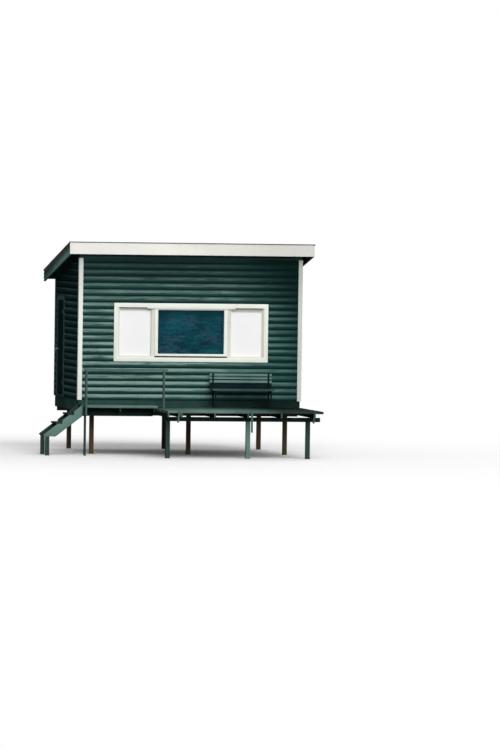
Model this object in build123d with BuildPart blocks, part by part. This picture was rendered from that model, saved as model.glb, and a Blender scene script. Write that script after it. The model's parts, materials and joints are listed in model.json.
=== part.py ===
"""A small lakeside boathouse: log sided walls, a single pitch roof, a raised
walkway, a wide deck on posts, a short stair and a bench. Millimetres, +Z up.
The front faces -Y. The origin is under the middle of the whole outline, at
the lowest foot."""

import os
from math import atan, cos, degrees, radians, sin, tan

from build123d import *

# Lumber
THIN = 38.0  # thickness of a joist, a stringer or a board on edge
NARROW = 89.0  # width of a narrow board, side of a square post
TRIM = 25.0  # thickness of fascias, corner boards and casings

# House
HOUSE_WIDTH = 4800.0  # over the corner boards
HOUSE_DEPTH = 3075.0  # over the corner boards
WALL = 120.0  # wall thickness behind the rounded siding
COURSE = 137.5  # height of one log course
BULGE = 20.0  # how far a log course stands out from its joint
BOARD_WIDTH = 90.0  # width of corner boards and casings

# Levels above the lowest foot
DECK_TOP = 1000.0
SKIRT_TOP = 1137.0
SKIRT_HEIGHT = 235.0
ROOF_TOP = 4450.0  # top of the roof boards at the front fascia
FRIEZE_HEIGHT = 112.0
OVER_DOOR = 515.0  # wall height over the rear end of the door opening

# Roof
ROOF_PITCH = 0.19  # fall for each unit of depth
ROOF_BOARD = 50.0  # roof boards, measured upright
RAFTER = 140.0  # rafters, measured upright
RAFTER_PITCH = 589.0
FRONT_OVERHANG = 160.0
REAR_OVERHANG = 150.0
SIDE_OVERHANG = 222.0
FASCIA_HEIGHT = 246.0
RAKE_HEIGHT = 192.0
REAR_FASCIA_HEIGHT = 190.0
ROOFING = 10.0
DRIP = 15.0  # how far the roofing reaches past the fascias

# Window, measured from the left corner board
WINDOW_LEFT = 841.0
WINDOW_WIDTH = 3145.0
WINDOW_BOTTOM = 2034.0
WINDOW_HEIGHT = 1072.0
CASING_LAP = 80.0  # how far a casing covers the wall beside its opening
WINDOW_FRAME = 37.0  # face width of the frame inside the opening
FRAME_DEPTH = 100.0
SIDE_LIGHT = 682.0  # clear width of the two narrow lights
MULLION = 76.0
SASH_STILE = 66.0
SASH_TOP_RAIL = 14.0
SASH_BOTTOM_RAIL = 52.0
SASH_PROUD = 12.0  # how far the middle sash stands in front of the wall face
SILL_LIP = 12.0  # frame left under the middle sash
SASH_RAISE = 13.0  # gap under the middle sash
HEAD_LAP = 93.0  # how far the deeper middle of the casing's head passes the middle light
GLASS = 6.0
PANEL_SETBACK = 40.0
PANEL_GAP = 52.0  # dark gap over the white side panels

# Door in the left wall
DOOR_FROM_FRONT = 1947.0  # front edge of the opening from the front corner
DOOR_OPENING = 743.0
JAMB = 25.0  # thickness of the jamb lining, inside the wall opening
LEAF = 45.0
LEAF_SETBACK = 5.0  # leaf face behind the casing face
LEAF_GAP = 5.0
LEAF_FLOOR_GAP = 10.0
THRESHOLD = 45.0
STOP_DEPTH = 30.0
STOP_FACE = 12.0
HINGE_RADIUS = 5.5
HINGE_PROUD = 7.0  # hinge axis in front of the leaf's face
HINGE_HEIGHT = 100.0
HINGE_PLAY = 0.3  # between the two halves of a hinge
HINGE_LEAF = 3.0
HINGE_PLATE = 2.0  # thickness of the half that is fixed to the jamb
HINGE_STRAP = 60.0
HINGE_FROM_END = 190.0
KNOB_RADIUS = 27.0
KNOB_REACH = 60.0
KNOB_HEIGHT = 950.0
KNOB_FROM_EDGE = 70.0

# Floor and foundation
FLOOR = 38.0
FLOOR_JOIST_HEIGHT = 184.0
FLOOR_JOIST_PITCH = 580.0
SILL_HEIGHT = 140.0
FOUNDATION_POSTS = 3
FOUNDATION_INSET = 300.0

# Wide deck and walkway
DECK_BOARD = 50.0
DECK_LEFT = 1500.0  # from the left corner board
DECK_DEPTH = 2400.0
JOIST_PITCH = 705.0
JOIST_EDGE = 166.0  # from the right end of the deck to the last joist
BEAM_FROM_FRONT = 400.0
POST_EDGE = 74.0  # from the left end of the deck to the left post's centre
POST_FROM_RIGHT = (1526.0, 254.0)  # from the right end of the deck to the other centres
WALKWAY_DEPTH = 950.0
WALKWAY_LAP = 50.0  # how far the walkway rests on the wide deck
WALKWAY_JOIST = 741.0  # middle joist from the left corner board
WALKWAY_BEAM_SETBACK = 300.0
WALKWAY_POST_SETBACK = 24.0

# Handrail and the stubs of a railing that is gone
RAIL_HEIGHT = 772.0  # underside of the rail above the walkway
RAIL_LEFT_LAP = 30.0
RAIL_RIGHT_LAP = 62.0
RAIL_POST_DROP = 201.0  # how far the left post hangs below the walkway top
RAIL_POST_GAP = 95.0  # from the walkway's right end to the right post
STUB = 38.0
STUB_FROM_LEFT = 250.0  # from the left end of the deck to the first stub
STUB_FROM_RIGHT = (1523.0, 185.0)  # from the right end of the deck to the others
STUB_LENGTH = (242.0, 442.0, 242.0)
STUB_LEAN = (9.0, 0.0, 8.0)

# Stair
STAIR_PITCH = 0.765
STRINGER_WIDTH = 184.0
STRINGER_TOP = 1060.0
STAIR_REACH = 862.0  # from the left corner board to the stair's far end
STAIR_FOOT = 395.0
RISER_LINE = 178.0  # first riser from the top end of the stringers
TREAD_RUN = 246.0
NOTCH_DEPTH = 77.0
TREAD_COUNT = 2
TREAD_DEPTH = 140.0
NEAR_STRINGER = 881.0  # rear side of the near stringer, from the wall
FAR_STRINGER = 281.0

# Bench
BENCH_FROM_RIGHT = 1995.0  # from the right corner board to the bench's left end
BENCH_LENGTH = 1332.0
BENCH_BAR = 30.0
BENCH_FROM_WALL = 135.0
BENCH_SPAN_INSET = 55.0
BENCH_SEAT_HEIGHT = 400.0
BENCH_SEAT_DEPTH = 300.0
BENCH_BACK_HEIGHT = 725.0
BENCH_SLAT = 19.0
BENCH_SLATS = ((528.0, 49.0), (602.0, 38.0), (672.0, 44.0))  # bottom above the deck, width
BENCH_PANEL = (402.0, 116.0)  # bottom above the deck, width

# Outline of the whole building, about the middle of which it is placed
LEFT_REACH = STAIR_REACH
RIGHT_REACH = HOUSE_WIDTH + SIDE_OVERHANG + DRIP
FRONT_REACH = DECK_DEPTH + STUB
REAR_REACH = HOUSE_DEPTH - TRIM + REAR_OVERHANG + DRIP
left = (LEFT_REACH - RIGHT_REACH) / 2
front = (FRONT_REACH - REAR_REACH) / 2
right = left + HOUSE_WIDTH
rear = front - TRIM + HOUSE_DEPTH

# Wall faces: left, right and rear name the corner boards' outer faces
wall_left = left + TRIM
wall_right = right - TRIM
wall_rear = rear - TRIM
room_left = wall_left + WALL
room_right = wall_right - WALL
room_front = front + WALL
room_rear = wall_rear - WALL

# Roof lines
ROOF_THICKNESS = ROOF_BOARD + RAFTER
roof_front = front - FRONT_OVERHANG
roof_rear = rear + REAR_OVERHANG
roof_left = left - SIDE_OVERHANG
roof_right = right + SIDE_OVERHANG
roof_angle = degrees(atan(ROOF_PITCH))


def roof_height(y, drop=0.0):
    """Height of the roof's top surface at y, less an upright drop."""
    return ROOF_TOP - ROOF_PITCH * (y - roof_front) - drop


frieze_bottom = roof_height(front - TRIM, ROOF_THICKNESS + FRIEZE_HEIGHT)


def slab(x, y, z, mode=Mode.ADD):
    """Add, or cut away, a straight board or slab between pairs of X, Y and Z."""
    with BuildSketch(Plane.XY.offset(z[0])) as outline:
        with Locations(((x[0] + x[1]) / 2, (y[0] + y[1]) / 2)):
            Rectangle(x[1] - x[0], y[1] - y[0])
    extrude(outline.sketch, amount=z[1] - z[0], mode=mode)


def wall_prism(corners):
    """Add a wall with a plan of (x, y) corners, from the skirt past the roof line."""
    with BuildSketch(Plane.XY.offset(SKIRT_TOP)) as plan:
        with BuildLine():
            Polyline(*corners, close=True)
        make_face()
    extrude(plan.sketch, amount=ROOF_TOP - SKIRT_TOP)


def side_profile(points, x):
    """Add a solid with a profile of (y, z) points, between a pair of X."""
    with BuildSketch(Plane.YZ.offset(x[0])) as outline:
        with BuildLine():
            Polyline(*points, close=True)
        make_face()
    extrude(outline.sketch, amount=x[1] - x[0])


def front_profile(points, y):
    """Add a solid with a profile of (x, z) points, between a pair of Y."""
    with BuildSketch(Plane.XZ.offset(-y[1])) as outline:
        with BuildLine():
            Polyline(*points, close=True)
        make_face()
    extrude(outline.sketch, amount=y[1] - y[0])


def log_courses(plane, length, heights):
    """Add rounded log courses on a plane whose local X points out of the wall.

    The courses start at the skirt and are cut off at the pair of heights."""
    count = int((heights[1] - SKIRT_TOP) / COURSE) + 1
    with BuildSketch(plane) as outline:
        for number in range(count):
            low = SKIRT_TOP + number * COURSE
            high = low + COURSE
            if high > heights[0] and low < heights[1]:
                with BuildLine():
                    Line((0, low), (0, high))
                    ThreePointArc((0, high), (BULGE, (low + high) / 2), (0, low))
                make_face()
        with Locations((BULGE / 2, (heights[0] + heights[1]) / 2)):
            Rectangle(2 * BULGE, heights[1] - heights[0], mode=Mode.INTERSECT)
    extrude(outline.sketch, amount=length)


def under_roof():
    """Cut the part being built along the underside of the roof."""
    underside = Plane(
        origin=(0, roof_front, roof_height(roof_front, ROOF_THICKNESS)),
        z_dir=(0, sin(radians(roof_angle)), cos(radians(roof_angle))),
    )
    split(bisect_by=underside, keep=Keep.BOTTOM)


def finish(piece, name):
    """Label a piece and write its file."""
    piece.part.label = name
    export_step(piece.part, f"parts/{name}.step")


os.makedirs("parts", exist_ok=True)

# Front wall, in four pieces around the window opening
window_left = left + WINDOW_LEFT
window_right = window_left + WINDOW_WIDTH
window_top = WINDOW_BOTTOM + WINDOW_HEIGHT
casing_left = window_left - CASING_LAP
casing_right = window_right + CASING_LAP
casing_bottom = WINDOW_BOTTOM - CASING_LAP
casing_top = window_top + CASING_LAP
log_left = left + BOARD_WIDTH
log_right = right - BOARD_WIDTH


def front_logs(x, z):
    """Add the log courses of the front wall between pairs of X and Z."""
    plane = Plane(origin=(x[0], front, 0), x_dir=(0, -1, 0), z_dir=(-1, 0, 0))
    log_courses(plane, x[0] - x[1], z)


def casing_pocket():
    """Clear the front wall's log courses from behind the window casing."""
    slab(
        (casing_left, casing_right),
        (front - BULGE, front),
        (casing_bottom, casing_top),
        mode=Mode.SUBTRACT,
    )


for name, window_side, corner, room_corner, log_end in (
    ("front_wall_left", window_left, wall_left, room_left, log_left),
    ("front_wall_right", window_right, wall_right, room_right, log_right),
):
    with BuildPart() as front_wall_side:
        wall_prism(
            (
                (corner, front),
                (window_side, front),
                (window_side, room_front),
                (room_corner, room_front),
            )
        )
        front_logs((min(log_end, window_side), max(log_end, window_side)), (SKIRT_TOP, frieze_bottom))
        casing_pocket()
        under_roof()
    finish(front_wall_side, name)

with BuildPart() as front_wall_below:
    slab((window_left, window_right), (front, room_front), (SKIRT_TOP, WINDOW_BOTTOM))
    front_logs((window_left, window_right), (SKIRT_TOP, casing_bottom))
finish(front_wall_below, "front_wall_below")

with BuildPart() as front_wall_above:
    slab((window_left, window_right), (front, room_front), (window_top, ROOF_TOP))
    front_logs((window_left, window_right), (casing_top, frieze_bottom))
    under_roof()
finish(front_wall_above, "front_wall_above")

# Left wall, in three pieces around the doorway
door_front = front - TRIM + DOOR_FROM_FRONT
door_rear = door_front + DOOR_OPENING
side_log_front = front - TRIM + BOARD_WIDTH
side_log_rear = rear - BOARD_WIDTH
door_opening_top = roof_height(door_rear, ROOF_THICKNESS + OVER_DOOR)
door_casing_front = door_front - CASING_LAP
door_casing_rear = door_rear + CASING_LAP
door_casing_top = door_opening_top + CASING_LAP


def left_logs(y, z):
    """Add the log courses of the left wall between pairs of Y and Z."""
    plane = Plane(origin=(wall_left, y[1], 0), x_dir=(-1, 0, 0), z_dir=(0, 1, 0))
    log_courses(plane, y[0] - y[1], z)


for name, door_side, corner, room_corner, log_end in (
    ("left_wall_front", door_front, front, room_front, side_log_front),
    ("left_wall_rear", door_rear, wall_rear, room_rear, side_log_rear),
):
    with BuildPart() as left_wall_side:
        wall_prism(
            (
                (wall_left, corner),
                (wall_left, door_side),
                (room_left, door_side),
                (room_left, room_corner),
            )
        )
        left_logs((min(log_end, door_side), max(log_end, door_side)), (SKIRT_TOP, ROOF_TOP))
        slab(
            (wall_left - BULGE, wall_left),
            (door_casing_front, door_casing_rear),
            (SKIRT_TOP, door_casing_top),
            mode=Mode.SUBTRACT,
        )
        under_roof()
    finish(left_wall_side, name)

with BuildPart() as left_wall_over_door:
    slab((wall_left, room_left), (door_front, door_rear), (door_opening_top, ROOF_TOP))
    left_logs((door_front, door_rear), (door_casing_top, ROOF_TOP))
    under_roof()
finish(left_wall_over_door, "left_wall_over_door")

# Right and rear walls, with no opening
with BuildPart() as right_wall:
    wall_prism(
        (
            (wall_right, front),
            (wall_right, wall_rear),
            (room_right, room_rear),
            (room_right, room_front),
        )
    )
    right_plane = Plane(origin=(wall_right, side_log_front, 0), x_dir=(1, 0, 0), z_dir=(0, -1, 0))
    log_courses(right_plane, side_log_front - side_log_rear, (SKIRT_TOP, ROOF_TOP))
    under_roof()
finish(right_wall, "right_wall")

with BuildPart() as rear_wall:
    wall_prism(
        (
            (wall_left, wall_rear),
            (wall_right, wall_rear),
            (room_right, room_rear),
            (room_left, room_rear),
        )
    )
    rear_plane = Plane(origin=(log_right, wall_rear, 0), x_dir=(0, 1, 0), z_dir=(1, 0, 0))
    log_courses(rear_plane, log_left - log_right, (SKIRT_TOP, ROOF_TOP))
    under_roof()
finish(rear_wall, "rear_wall")

# Corner boards, each an L around its corner
for name, y_corner, y_way, board_top in (
    ("corner_boards_front", front - TRIM, 1, frieze_bottom),
    ("corner_boards_rear", rear, -1, ROOF_TOP),
):
    with BuildPart() as corner_boards:
        for x_corner, x_way in ((left, 1), (right, -1)):
            x_end = x_corner + x_way * BOARD_WIDTH
            y_end = y_corner + y_way * BOARD_WIDTH
            x_back = x_corner + x_way * TRIM
            y_back = y_corner + y_way * TRIM
            with BuildSketch(Plane.XY.offset(SKIRT_TOP)) as corner:
                with BuildLine():
                    Polyline(
                        (x_corner, y_corner),
                        (x_end, y_corner),
                        (x_end, y_back),
                        (x_back, y_back),
                        (x_back, y_end),
                        (x_corner, y_end),
                        close=True,
                    )
                make_face()
            extrude(corner.sketch, amount=board_top - SKIRT_TOP, mode=Mode.ADD)
        under_roof()
    finish(corner_boards, name)

# Frieze between the top of the front siding and the roof
with BuildPart() as frieze:
    slab((left, right), (front - TRIM, front), (frieze_bottom, ROOF_TOP))
    under_roof()
finish(frieze, "frieze")

# Skirt boards under the walls
skirt_bottom = SKIRT_TOP - SKIRT_HEIGHT
skirt_z = (skirt_bottom, SKIRT_TOP)
with BuildPart() as skirts_long:
    for y in (front, wall_rear - THIN):
        slab((wall_left, wall_right), (y, y + THIN), skirt_z)
finish(skirts_long, "skirts_long")

with BuildPart() as skirts_short:
    for x in (wall_left, wall_right - THIN):
        slab((x, x + THIN), (front + THIN, wall_rear - THIN), skirt_z)
finish(skirts_short, "skirts_short")

# Floor, its joists, the sill beams and the foundation posts
floor_top = SKIRT_TOP + FLOOR
with BuildPart() as floor:
    slab((room_left, room_right), (room_front, room_rear), (SKIRT_TOP, floor_top))
finish(floor, "floor")

joist_bottom = SKIRT_TOP - FLOOR_JOIST_HEIGHT
joist_first = wall_left + THIN
joist_room = wall_right - THIN - joist_first - THIN
floor_joist_count = round(joist_room / FLOOR_JOIST_PITCH)
with BuildPart() as floor_joists:
    for number in range(floor_joist_count):
        x = joist_first + joist_room * (number + 0.5) / floor_joist_count
        slab((x, x + THIN), (front + THIN, wall_rear - THIN), (joist_bottom, SKIRT_TOP))
finish(floor_joists, "floor_joists")

sill_bottom = joist_bottom - SILL_HEIGHT
sill_front = (front + THIN, front + THIN + NARROW)
sill_rear = (wall_rear - THIN - NARROW, wall_rear - THIN)
with BuildPart() as sill_beams:
    for y in (sill_front, sill_rear):
        slab((wall_left + THIN, wall_right - THIN), y, (sill_bottom, joist_bottom))
finish(sill_beams, "sill_beams")

post_first = wall_left + FOUNDATION_INSET
post_pitch = (wall_right - wall_left - 2 * FOUNDATION_INSET) / (FOUNDATION_POSTS - 1)
with BuildPart() as foundation_posts:
    for y in (sill_front, sill_rear):
        for number in range(FOUNDATION_POSTS):
            x = post_first + number * post_pitch
            slab((x - NARROW / 2, x + NARROW / 2), y, (0, sill_bottom))
finish(foundation_posts, "foundation_posts")

# Roof
roof_y = (roof_front + TRIM, roof_rear - TRIM)


def roof_piece(x, y, drops):
    """Add a piece that lies along the roof's slope, between two drops below its top."""
    side_profile(
        (
            (y[0], roof_height(y[0], drops[0])),
            (y[1], roof_height(y[1], drops[0])),
            (y[1], roof_height(y[1], drops[1])),
            (y[0], roof_height(y[0], drops[1])),
        ),
        x,
    )


with BuildPart() as roof_boards:
    roof_piece((roof_left, roof_right), roof_y, (0, ROOF_BOARD))
finish(roof_boards, "roof_boards")

rafter_room = wall_right - wall_left - THIN
rafter_count = round(rafter_room / RAFTER_PITCH) + 1
rafter_xs = [wall_left + rafter_room * number / (rafter_count - 1) for number in range(rafter_count)]
with BuildPart() as rafters:
    for x in rafter_xs:
        roof_piece((x, x + THIN), roof_y, (ROOF_BOARD, ROOF_THICKNESS))
finish(rafters, "rafters")

with BuildPart() as rafter_blocks:
    for x, next_x in zip(rafter_xs, rafter_xs[1:]):
        for y in (front, wall_rear - THIN):
            roof_piece((x + THIN, next_x), (y, y + THIN), (ROOF_BOARD, ROOF_THICKNESS))
finish(rafter_blocks, "rafter_blocks")

with BuildPart() as rake_boards:
    for x in (roof_left, roof_right - THIN):
        roof_piece((x, x + THIN), roof_y, (ROOF_BOARD, ROOF_BOARD + RAKE_HEIGHT))
finish(rake_boards, "rake_boards")

for name, y, height in (
    ("fascia_front", (roof_front, roof_y[0]), FASCIA_HEIGHT),
    ("fascia_rear", (roof_y[1], roof_rear), REAR_FASCIA_HEIGHT),
):
    with BuildPart() as fascia:
        side_profile(
            (
                (y[0], roof_height(y[0])),
                (y[1], roof_height(y[1])),
                (y[1], roof_height(y[0], height)),
                (y[0], roof_height(y[0], height)),
            ),
            (roof_left, roof_right),
        )
    finish(fascia, name)

drip_x = (roof_left - DRIP, roof_right + DRIP)
drip_y = (roof_front - DRIP, roof_rear + DRIP)
with BuildPart() as roofing:
    roof_piece(drip_x, drip_y, (-ROOFING, 0))
finish(roofing, "roofing")

# Window casing, frame with its mullions, middle sash, glass and side panels
light_bottom = WINDOW_BOTTOM + WINDOW_FRAME
light_top = window_top - WINDOW_FRAME
light_left = window_left + WINDOW_FRAME
light_right = window_right - WINDOW_FRAME
mullion_left = (light_left + SIDE_LIGHT, light_left + SIDE_LIGHT + MULLION)
mullion_right = (light_right - SIDE_LIGHT - MULLION, light_right - SIDE_LIGHT)
casing_bite = BOARD_WIDTH - CASING_LAP
side_lights = ((light_left, mullion_left[0]), (mullion_right[1], light_right))
side_light_top = window_top - casing_bite
middle_light_bottom = WINDOW_BOTTOM + SILL_LIP
with BuildPart() as window_casing:
    with BuildSketch(Plane.XZ.offset(-front)):
        with Locations(((window_left + window_right) / 2, (WINDOW_BOTTOM + window_top) / 2)):
            Rectangle(WINDOW_WIDTH + 2 * CASING_LAP, WINDOW_HEIGHT + 2 * CASING_LAP)
            Rectangle(
                WINDOW_WIDTH - 2 * casing_bite,
                WINDOW_HEIGHT - 2 * casing_bite,
                mode=Mode.SUBTRACT,
            )
    extrude(amount=TRIM)
    slab(
        (mullion_left[0] - HEAD_LAP, mullion_right[1] + HEAD_LAP),
        (front - TRIM, front),
        (light_top, window_top),
    )
finish(window_casing, "window_casing")

with BuildPart() as window_frame:
    with BuildSketch(Plane.XZ.offset(-front - FRAME_DEPTH)):
        with Locations(((window_left + window_right) / 2, (WINDOW_BOTTOM + window_top) / 2)):
            Rectangle(WINDOW_WIDTH, WINDOW_HEIGHT)
            Rectangle(
                WINDOW_WIDTH - 2 * WINDOW_FRAME,
                WINDOW_HEIGHT - 2 * WINDOW_FRAME,
                mode=Mode.SUBTRACT,
            )
    extrude(amount=FRAME_DEPTH)
    for x in (mullion_left, mullion_right):
        slab(x, (front, front + FRAME_DEPTH), (light_bottom, light_top))
    for x, z in (
        (side_lights[0], (light_top, side_light_top)),
        (side_lights[1], (light_top, side_light_top)),
        ((mullion_left[1], mullion_right[0]), (middle_light_bottom, light_bottom)),
    ):
        slab(x, (front, front + FRAME_DEPTH), z, mode=Mode.SUBTRACT)
finish(window_frame, "window_frame")

sash_x = (mullion_left[1], mullion_right[0])
sash_y = (front - SASH_PROUD, front + FRAME_DEPTH / 2)
sash_bottom = middle_light_bottom + SASH_RAISE
pane_x = (sash_x[0] + SASH_STILE, sash_x[1] - SASH_STILE)
pane_z = (sash_bottom + SASH_BOTTOM_RAIL, light_top - SASH_TOP_RAIL)
with BuildPart() as middle_sash:
    slab(sash_x, sash_y, (sash_bottom, light_top))
    slab(pane_x, sash_y, pane_z, mode=Mode.SUBTRACT)
finish(middle_sash, "middle_sash")

middle_glass_y = front + FRAME_DEPTH / 2 - 2 * GLASS
side_glass_y = front + FRAME_DEPTH - 3 * GLASS
with BuildPart() as window_glass:
    for x in side_lights:
        slab(x, (side_glass_y, side_glass_y + GLASS), (light_bottom, side_light_top))
    slab(pane_x, (middle_glass_y, middle_glass_y + GLASS), pane_z)
finish(window_glass, "window_glass")

panel_y = (front + PANEL_SETBACK, front + PANEL_SETBACK + BENCH_SLAT)
with BuildPart() as side_panels:
    for x in side_lights:
        slab(x, panel_y, (light_bottom, side_light_top - PANEL_GAP))
finish(side_panels, "side_panels")

# Door frame: jambs, head and threshold line the doorway, with a casing outside
jamb_x = (wall_left, room_left)
leaf_face = left + LEAF_SETBACK
stop_x = (leaf_face + LEAF, leaf_face + LEAF + STOP_DEPTH)
leaf_bottom = SKIRT_TOP + THRESHOLD + LEAF_FLOOR_GAP
clear_front = door_front + JAMB
clear_rear = door_rear - JAMB
clear_top = door_opening_top - JAMB
with BuildPart() as door_jambs:
    for y in (door_front, clear_rear):
        slab(jamb_x, (y, y + JAMB), (SKIRT_TOP, clear_top))
finish(door_jambs, "door_jambs")

with BuildPart() as door_head:
    slab(jamb_x, (door_front, door_rear), (clear_top, door_opening_top))
finish(door_head, "door_head")

with BuildPart() as door_threshold:
    slab((left - BULGE, room_left), (clear_front, clear_rear), (SKIRT_TOP, SKIRT_TOP + THRESHOLD))
finish(door_threshold, "door_threshold")

with BuildPart() as door_stops:
    with BuildSketch(Plane.YZ.offset(stop_x[0])):
        with BuildLine():
            Polyline(
                (clear_front, SKIRT_TOP + THRESHOLD),
                (clear_front, clear_top),
                (clear_rear, clear_top),
                (clear_rear, SKIRT_TOP + THRESHOLD),
                (clear_rear - STOP_FACE, SKIRT_TOP + THRESHOLD),
                (clear_rear - STOP_FACE, clear_top - STOP_FACE),
                (clear_front + STOP_FACE, clear_top - STOP_FACE),
                (clear_front + STOP_FACE, SKIRT_TOP + THRESHOLD),
                close=True,
            )
        make_face()
    extrude(amount=STOP_DEPTH)
finish(door_stops, "door_stops")

with BuildPart() as door_casing:
    with BuildSketch(Plane.YZ.offset(left)):
        with BuildLine():
            Polyline(
                (door_casing_front, SKIRT_TOP),
                (door_casing_front, door_casing_top),
                (door_casing_rear, door_casing_top),
                (door_casing_rear, SKIRT_TOP),
                (door_casing_rear - BOARD_WIDTH, SKIRT_TOP),
                (door_casing_rear - BOARD_WIDTH, door_casing_top - BOARD_WIDTH),
                (door_casing_front + BOARD_WIDTH, door_casing_top - BOARD_WIDTH),
                (door_casing_front + BOARD_WIDTH, SKIRT_TOP),
                close=True,
            )
        make_face()
    extrude(amount=TRIM)
finish(door_casing, "door_casing")

# Door leaf, its hinges on the front jamb and its knob
leaf_y = (clear_front + LEAF_GAP, clear_rear - LEAF_GAP)
leaf_z = (leaf_bottom, clear_top - LEAF_GAP)
with BuildPart() as door_leaf:
    slab((leaf_face, leaf_face + LEAF), leaf_y, leaf_z)
finish(door_leaf, "door_leaf")

hinge_x = leaf_face - HINGE_PROUD
hinge_y = clear_front + LEAF_GAP / 2
hinge_levels = (leaf_z[0] + HINGE_FROM_END, leaf_z[1] - HINGE_FROM_END - HINGE_HEIGHT)
half_hinge = (HINGE_HEIGHT - HINGE_PLAY) / 2


def hinge_knuckle(level):
    """Add the knuckle of half a hinge, from the given height up."""
    with BuildSketch(Plane.XY.offset(level)) as knuckle:
        with Locations((hinge_x, hinge_y)):
            Circle(HINGE_RADIUS)
    extrude(knuckle.sketch, amount=half_hinge)


with BuildPart() as jamb_hinges:
    for level in hinge_levels:
        hinge_knuckle(level)
        slab(
            (hinge_x, leaf_face + HINGE_STRAP / 2),
            (clear_front, clear_front + HINGE_PLATE),
            (level, level + half_hinge),
        )
finish(jamb_hinges, "jamb_hinges")

with BuildPart() as door_hinges:
    for level in hinge_levels:
        upper = level + half_hinge + HINGE_PLAY
        hinge_knuckle(upper)
        slab(
            (leaf_face - HINGE_LEAF, leaf_face),
            (hinge_y, hinge_y + HINGE_STRAP),
            (upper, upper + half_hinge),
        )
finish(door_hinges, "door_hinges")

with BuildPart() as door_knob:
    with BuildSketch(Plane.XY.offset(leaf_z[0] + KNOB_HEIGHT)):
        with BuildLine(Plane.XY.offset(leaf_z[0] + KNOB_HEIGHT)):
            knob_y = leaf_y[1] - KNOB_FROM_EDGE
            knob_end = leaf_face - KNOB_REACH
            Polyline(
                (knob_end, knob_y),
                (leaf_face, knob_y),
                (leaf_face, knob_y + KNOB_RADIUS),
                (leaf_face - GLASS, knob_y + KNOB_RADIUS),
                (leaf_face - GLASS, knob_y + KNOB_RADIUS / 3),
                (knob_end + KNOB_RADIUS, knob_y + KNOB_RADIUS / 3),
                (knob_end + KNOB_RADIUS, knob_y + KNOB_RADIUS),
            )
            RadiusArc((knob_end + KNOB_RADIUS, knob_y + KNOB_RADIUS), (knob_end, knob_y), -KNOB_RADIUS)
        make_face()
    revolve(axis=Axis((knob_end, knob_y, leaf_z[0] + KNOB_HEIGHT), (1, 0, 0)))
finish(door_knob, "door_knob")

# Wide deck on joists, a beam and three posts
deck_x = (left + DECK_LEFT, right)
deck_front = front - DECK_DEPTH
board_bottom = DECK_TOP - DECK_BOARD
deck_joist_bottom = board_bottom - NARROW
beam_bottom = deck_joist_bottom - NARROW
with BuildPart() as deck_boards:
    slab(deck_x, (deck_front, front), (board_bottom, DECK_TOP))
finish(deck_boards, "deck_boards")

joist_y = (deck_front, front - THIN)
joist_last = right - JOIST_EDGE - THIN
joist_count = int((joist_last - deck_x[0] - THIN) / JOIST_PITCH) + 1
joist_xs = [deck_x[0]] + [joist_last - number * JOIST_PITCH for number in range(joist_count)]
with BuildPart() as deck_joists:
    for x in joist_xs:
        slab((x, x + THIN), joist_y, (deck_joist_bottom, board_bottom))
finish(deck_joists, "deck_joists")

beam_y = (deck_front + BEAM_FROM_FRONT - NARROW / 2, deck_front + BEAM_FROM_FRONT + NARROW / 2)
with BuildPart() as deck_beam:
    slab(deck_x, beam_y, (beam_bottom, deck_joist_bottom))
finish(deck_beam, "deck_beam")

with BuildPart() as deck_posts:
    for x in (deck_x[0] + POST_EDGE, right - POST_FROM_RIGHT[0], right - POST_FROM_RIGHT[1]):
        slab((x - NARROW / 2, x + NARROW / 2), beam_y, (0, beam_bottom))
finish(deck_posts, "deck_posts")

# Walkway, one board higher than the wide deck, and the ledger that carries both
walkway_top = DECK_TOP + DECK_BOARD
walkway_front = front - WALKWAY_DEPTH
walkway_joist_bottom = DECK_TOP - NARROW
with BuildPart() as walkway_boards:
    slab((left, deck_x[0] + WALKWAY_LAP), (walkway_front, front), (DECK_TOP, walkway_top))
finish(walkway_boards, "walkway_boards")

with BuildPart() as walkway_joists:
    for x in (left, left + WALKWAY_JOIST, deck_x[0] - THIN):
        slab((x, x + THIN), (walkway_front, front - THIN), (walkway_joist_bottom, DECK_TOP))
finish(walkway_joists, "walkway_joists")

with BuildPart() as deck_ledger:
    slab((left, deck_x[0]), (front - THIN, front), (walkway_joist_bottom, DECK_TOP))
    slab(deck_x, (front - THIN, front), (deck_joist_bottom, board_bottom))
finish(deck_ledger, "deck_ledger")

walkway_beam_y = (walkway_front + WALKWAY_BEAM_SETBACK, walkway_front + WALKWAY_BEAM_SETBACK + THIN)
with BuildPart() as walkway_beam:
    slab((left, deck_x[0]), walkway_beam_y, (walkway_joist_bottom - NARROW, walkway_joist_bottom))
finish(walkway_beam, "walkway_beam")

walkway_post_y = (walkway_front + WALKWAY_POST_SETBACK, walkway_front + WALKWAY_POST_SETBACK + NARROW)
with BuildPart() as walkway_post:
    slab((left, left + THIN), walkway_post_y, (0, walkway_joist_bottom))
finish(walkway_post, "walkway_post")

# Handrail on two posts, and three stubs on the deck's front edge
rail_bottom = walkway_top + RAIL_HEIGHT - THIN
rail_post_y = (walkway_front - NARROW, walkway_front)
rail_right_post = deck_x[0] + WALKWAY_LAP + RAIL_POST_GAP
with BuildPart() as handrail_posts:
    slab((left, left + THIN), rail_post_y, (walkway_top - RAIL_POST_DROP, rail_bottom))
    slab((rail_right_post, rail_right_post + THIN), rail_post_y, (DECK_TOP, rail_bottom))
finish(handrail_posts, "handrail_posts")

with BuildPart() as handrail:
    slab(
        (left - RAIL_LEFT_LAP, rail_right_post + THIN + RAIL_RIGHT_LAP),
        rail_post_y,
        (rail_bottom, rail_bottom + THIN),
    )
finish(handrail, "handrail")

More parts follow.
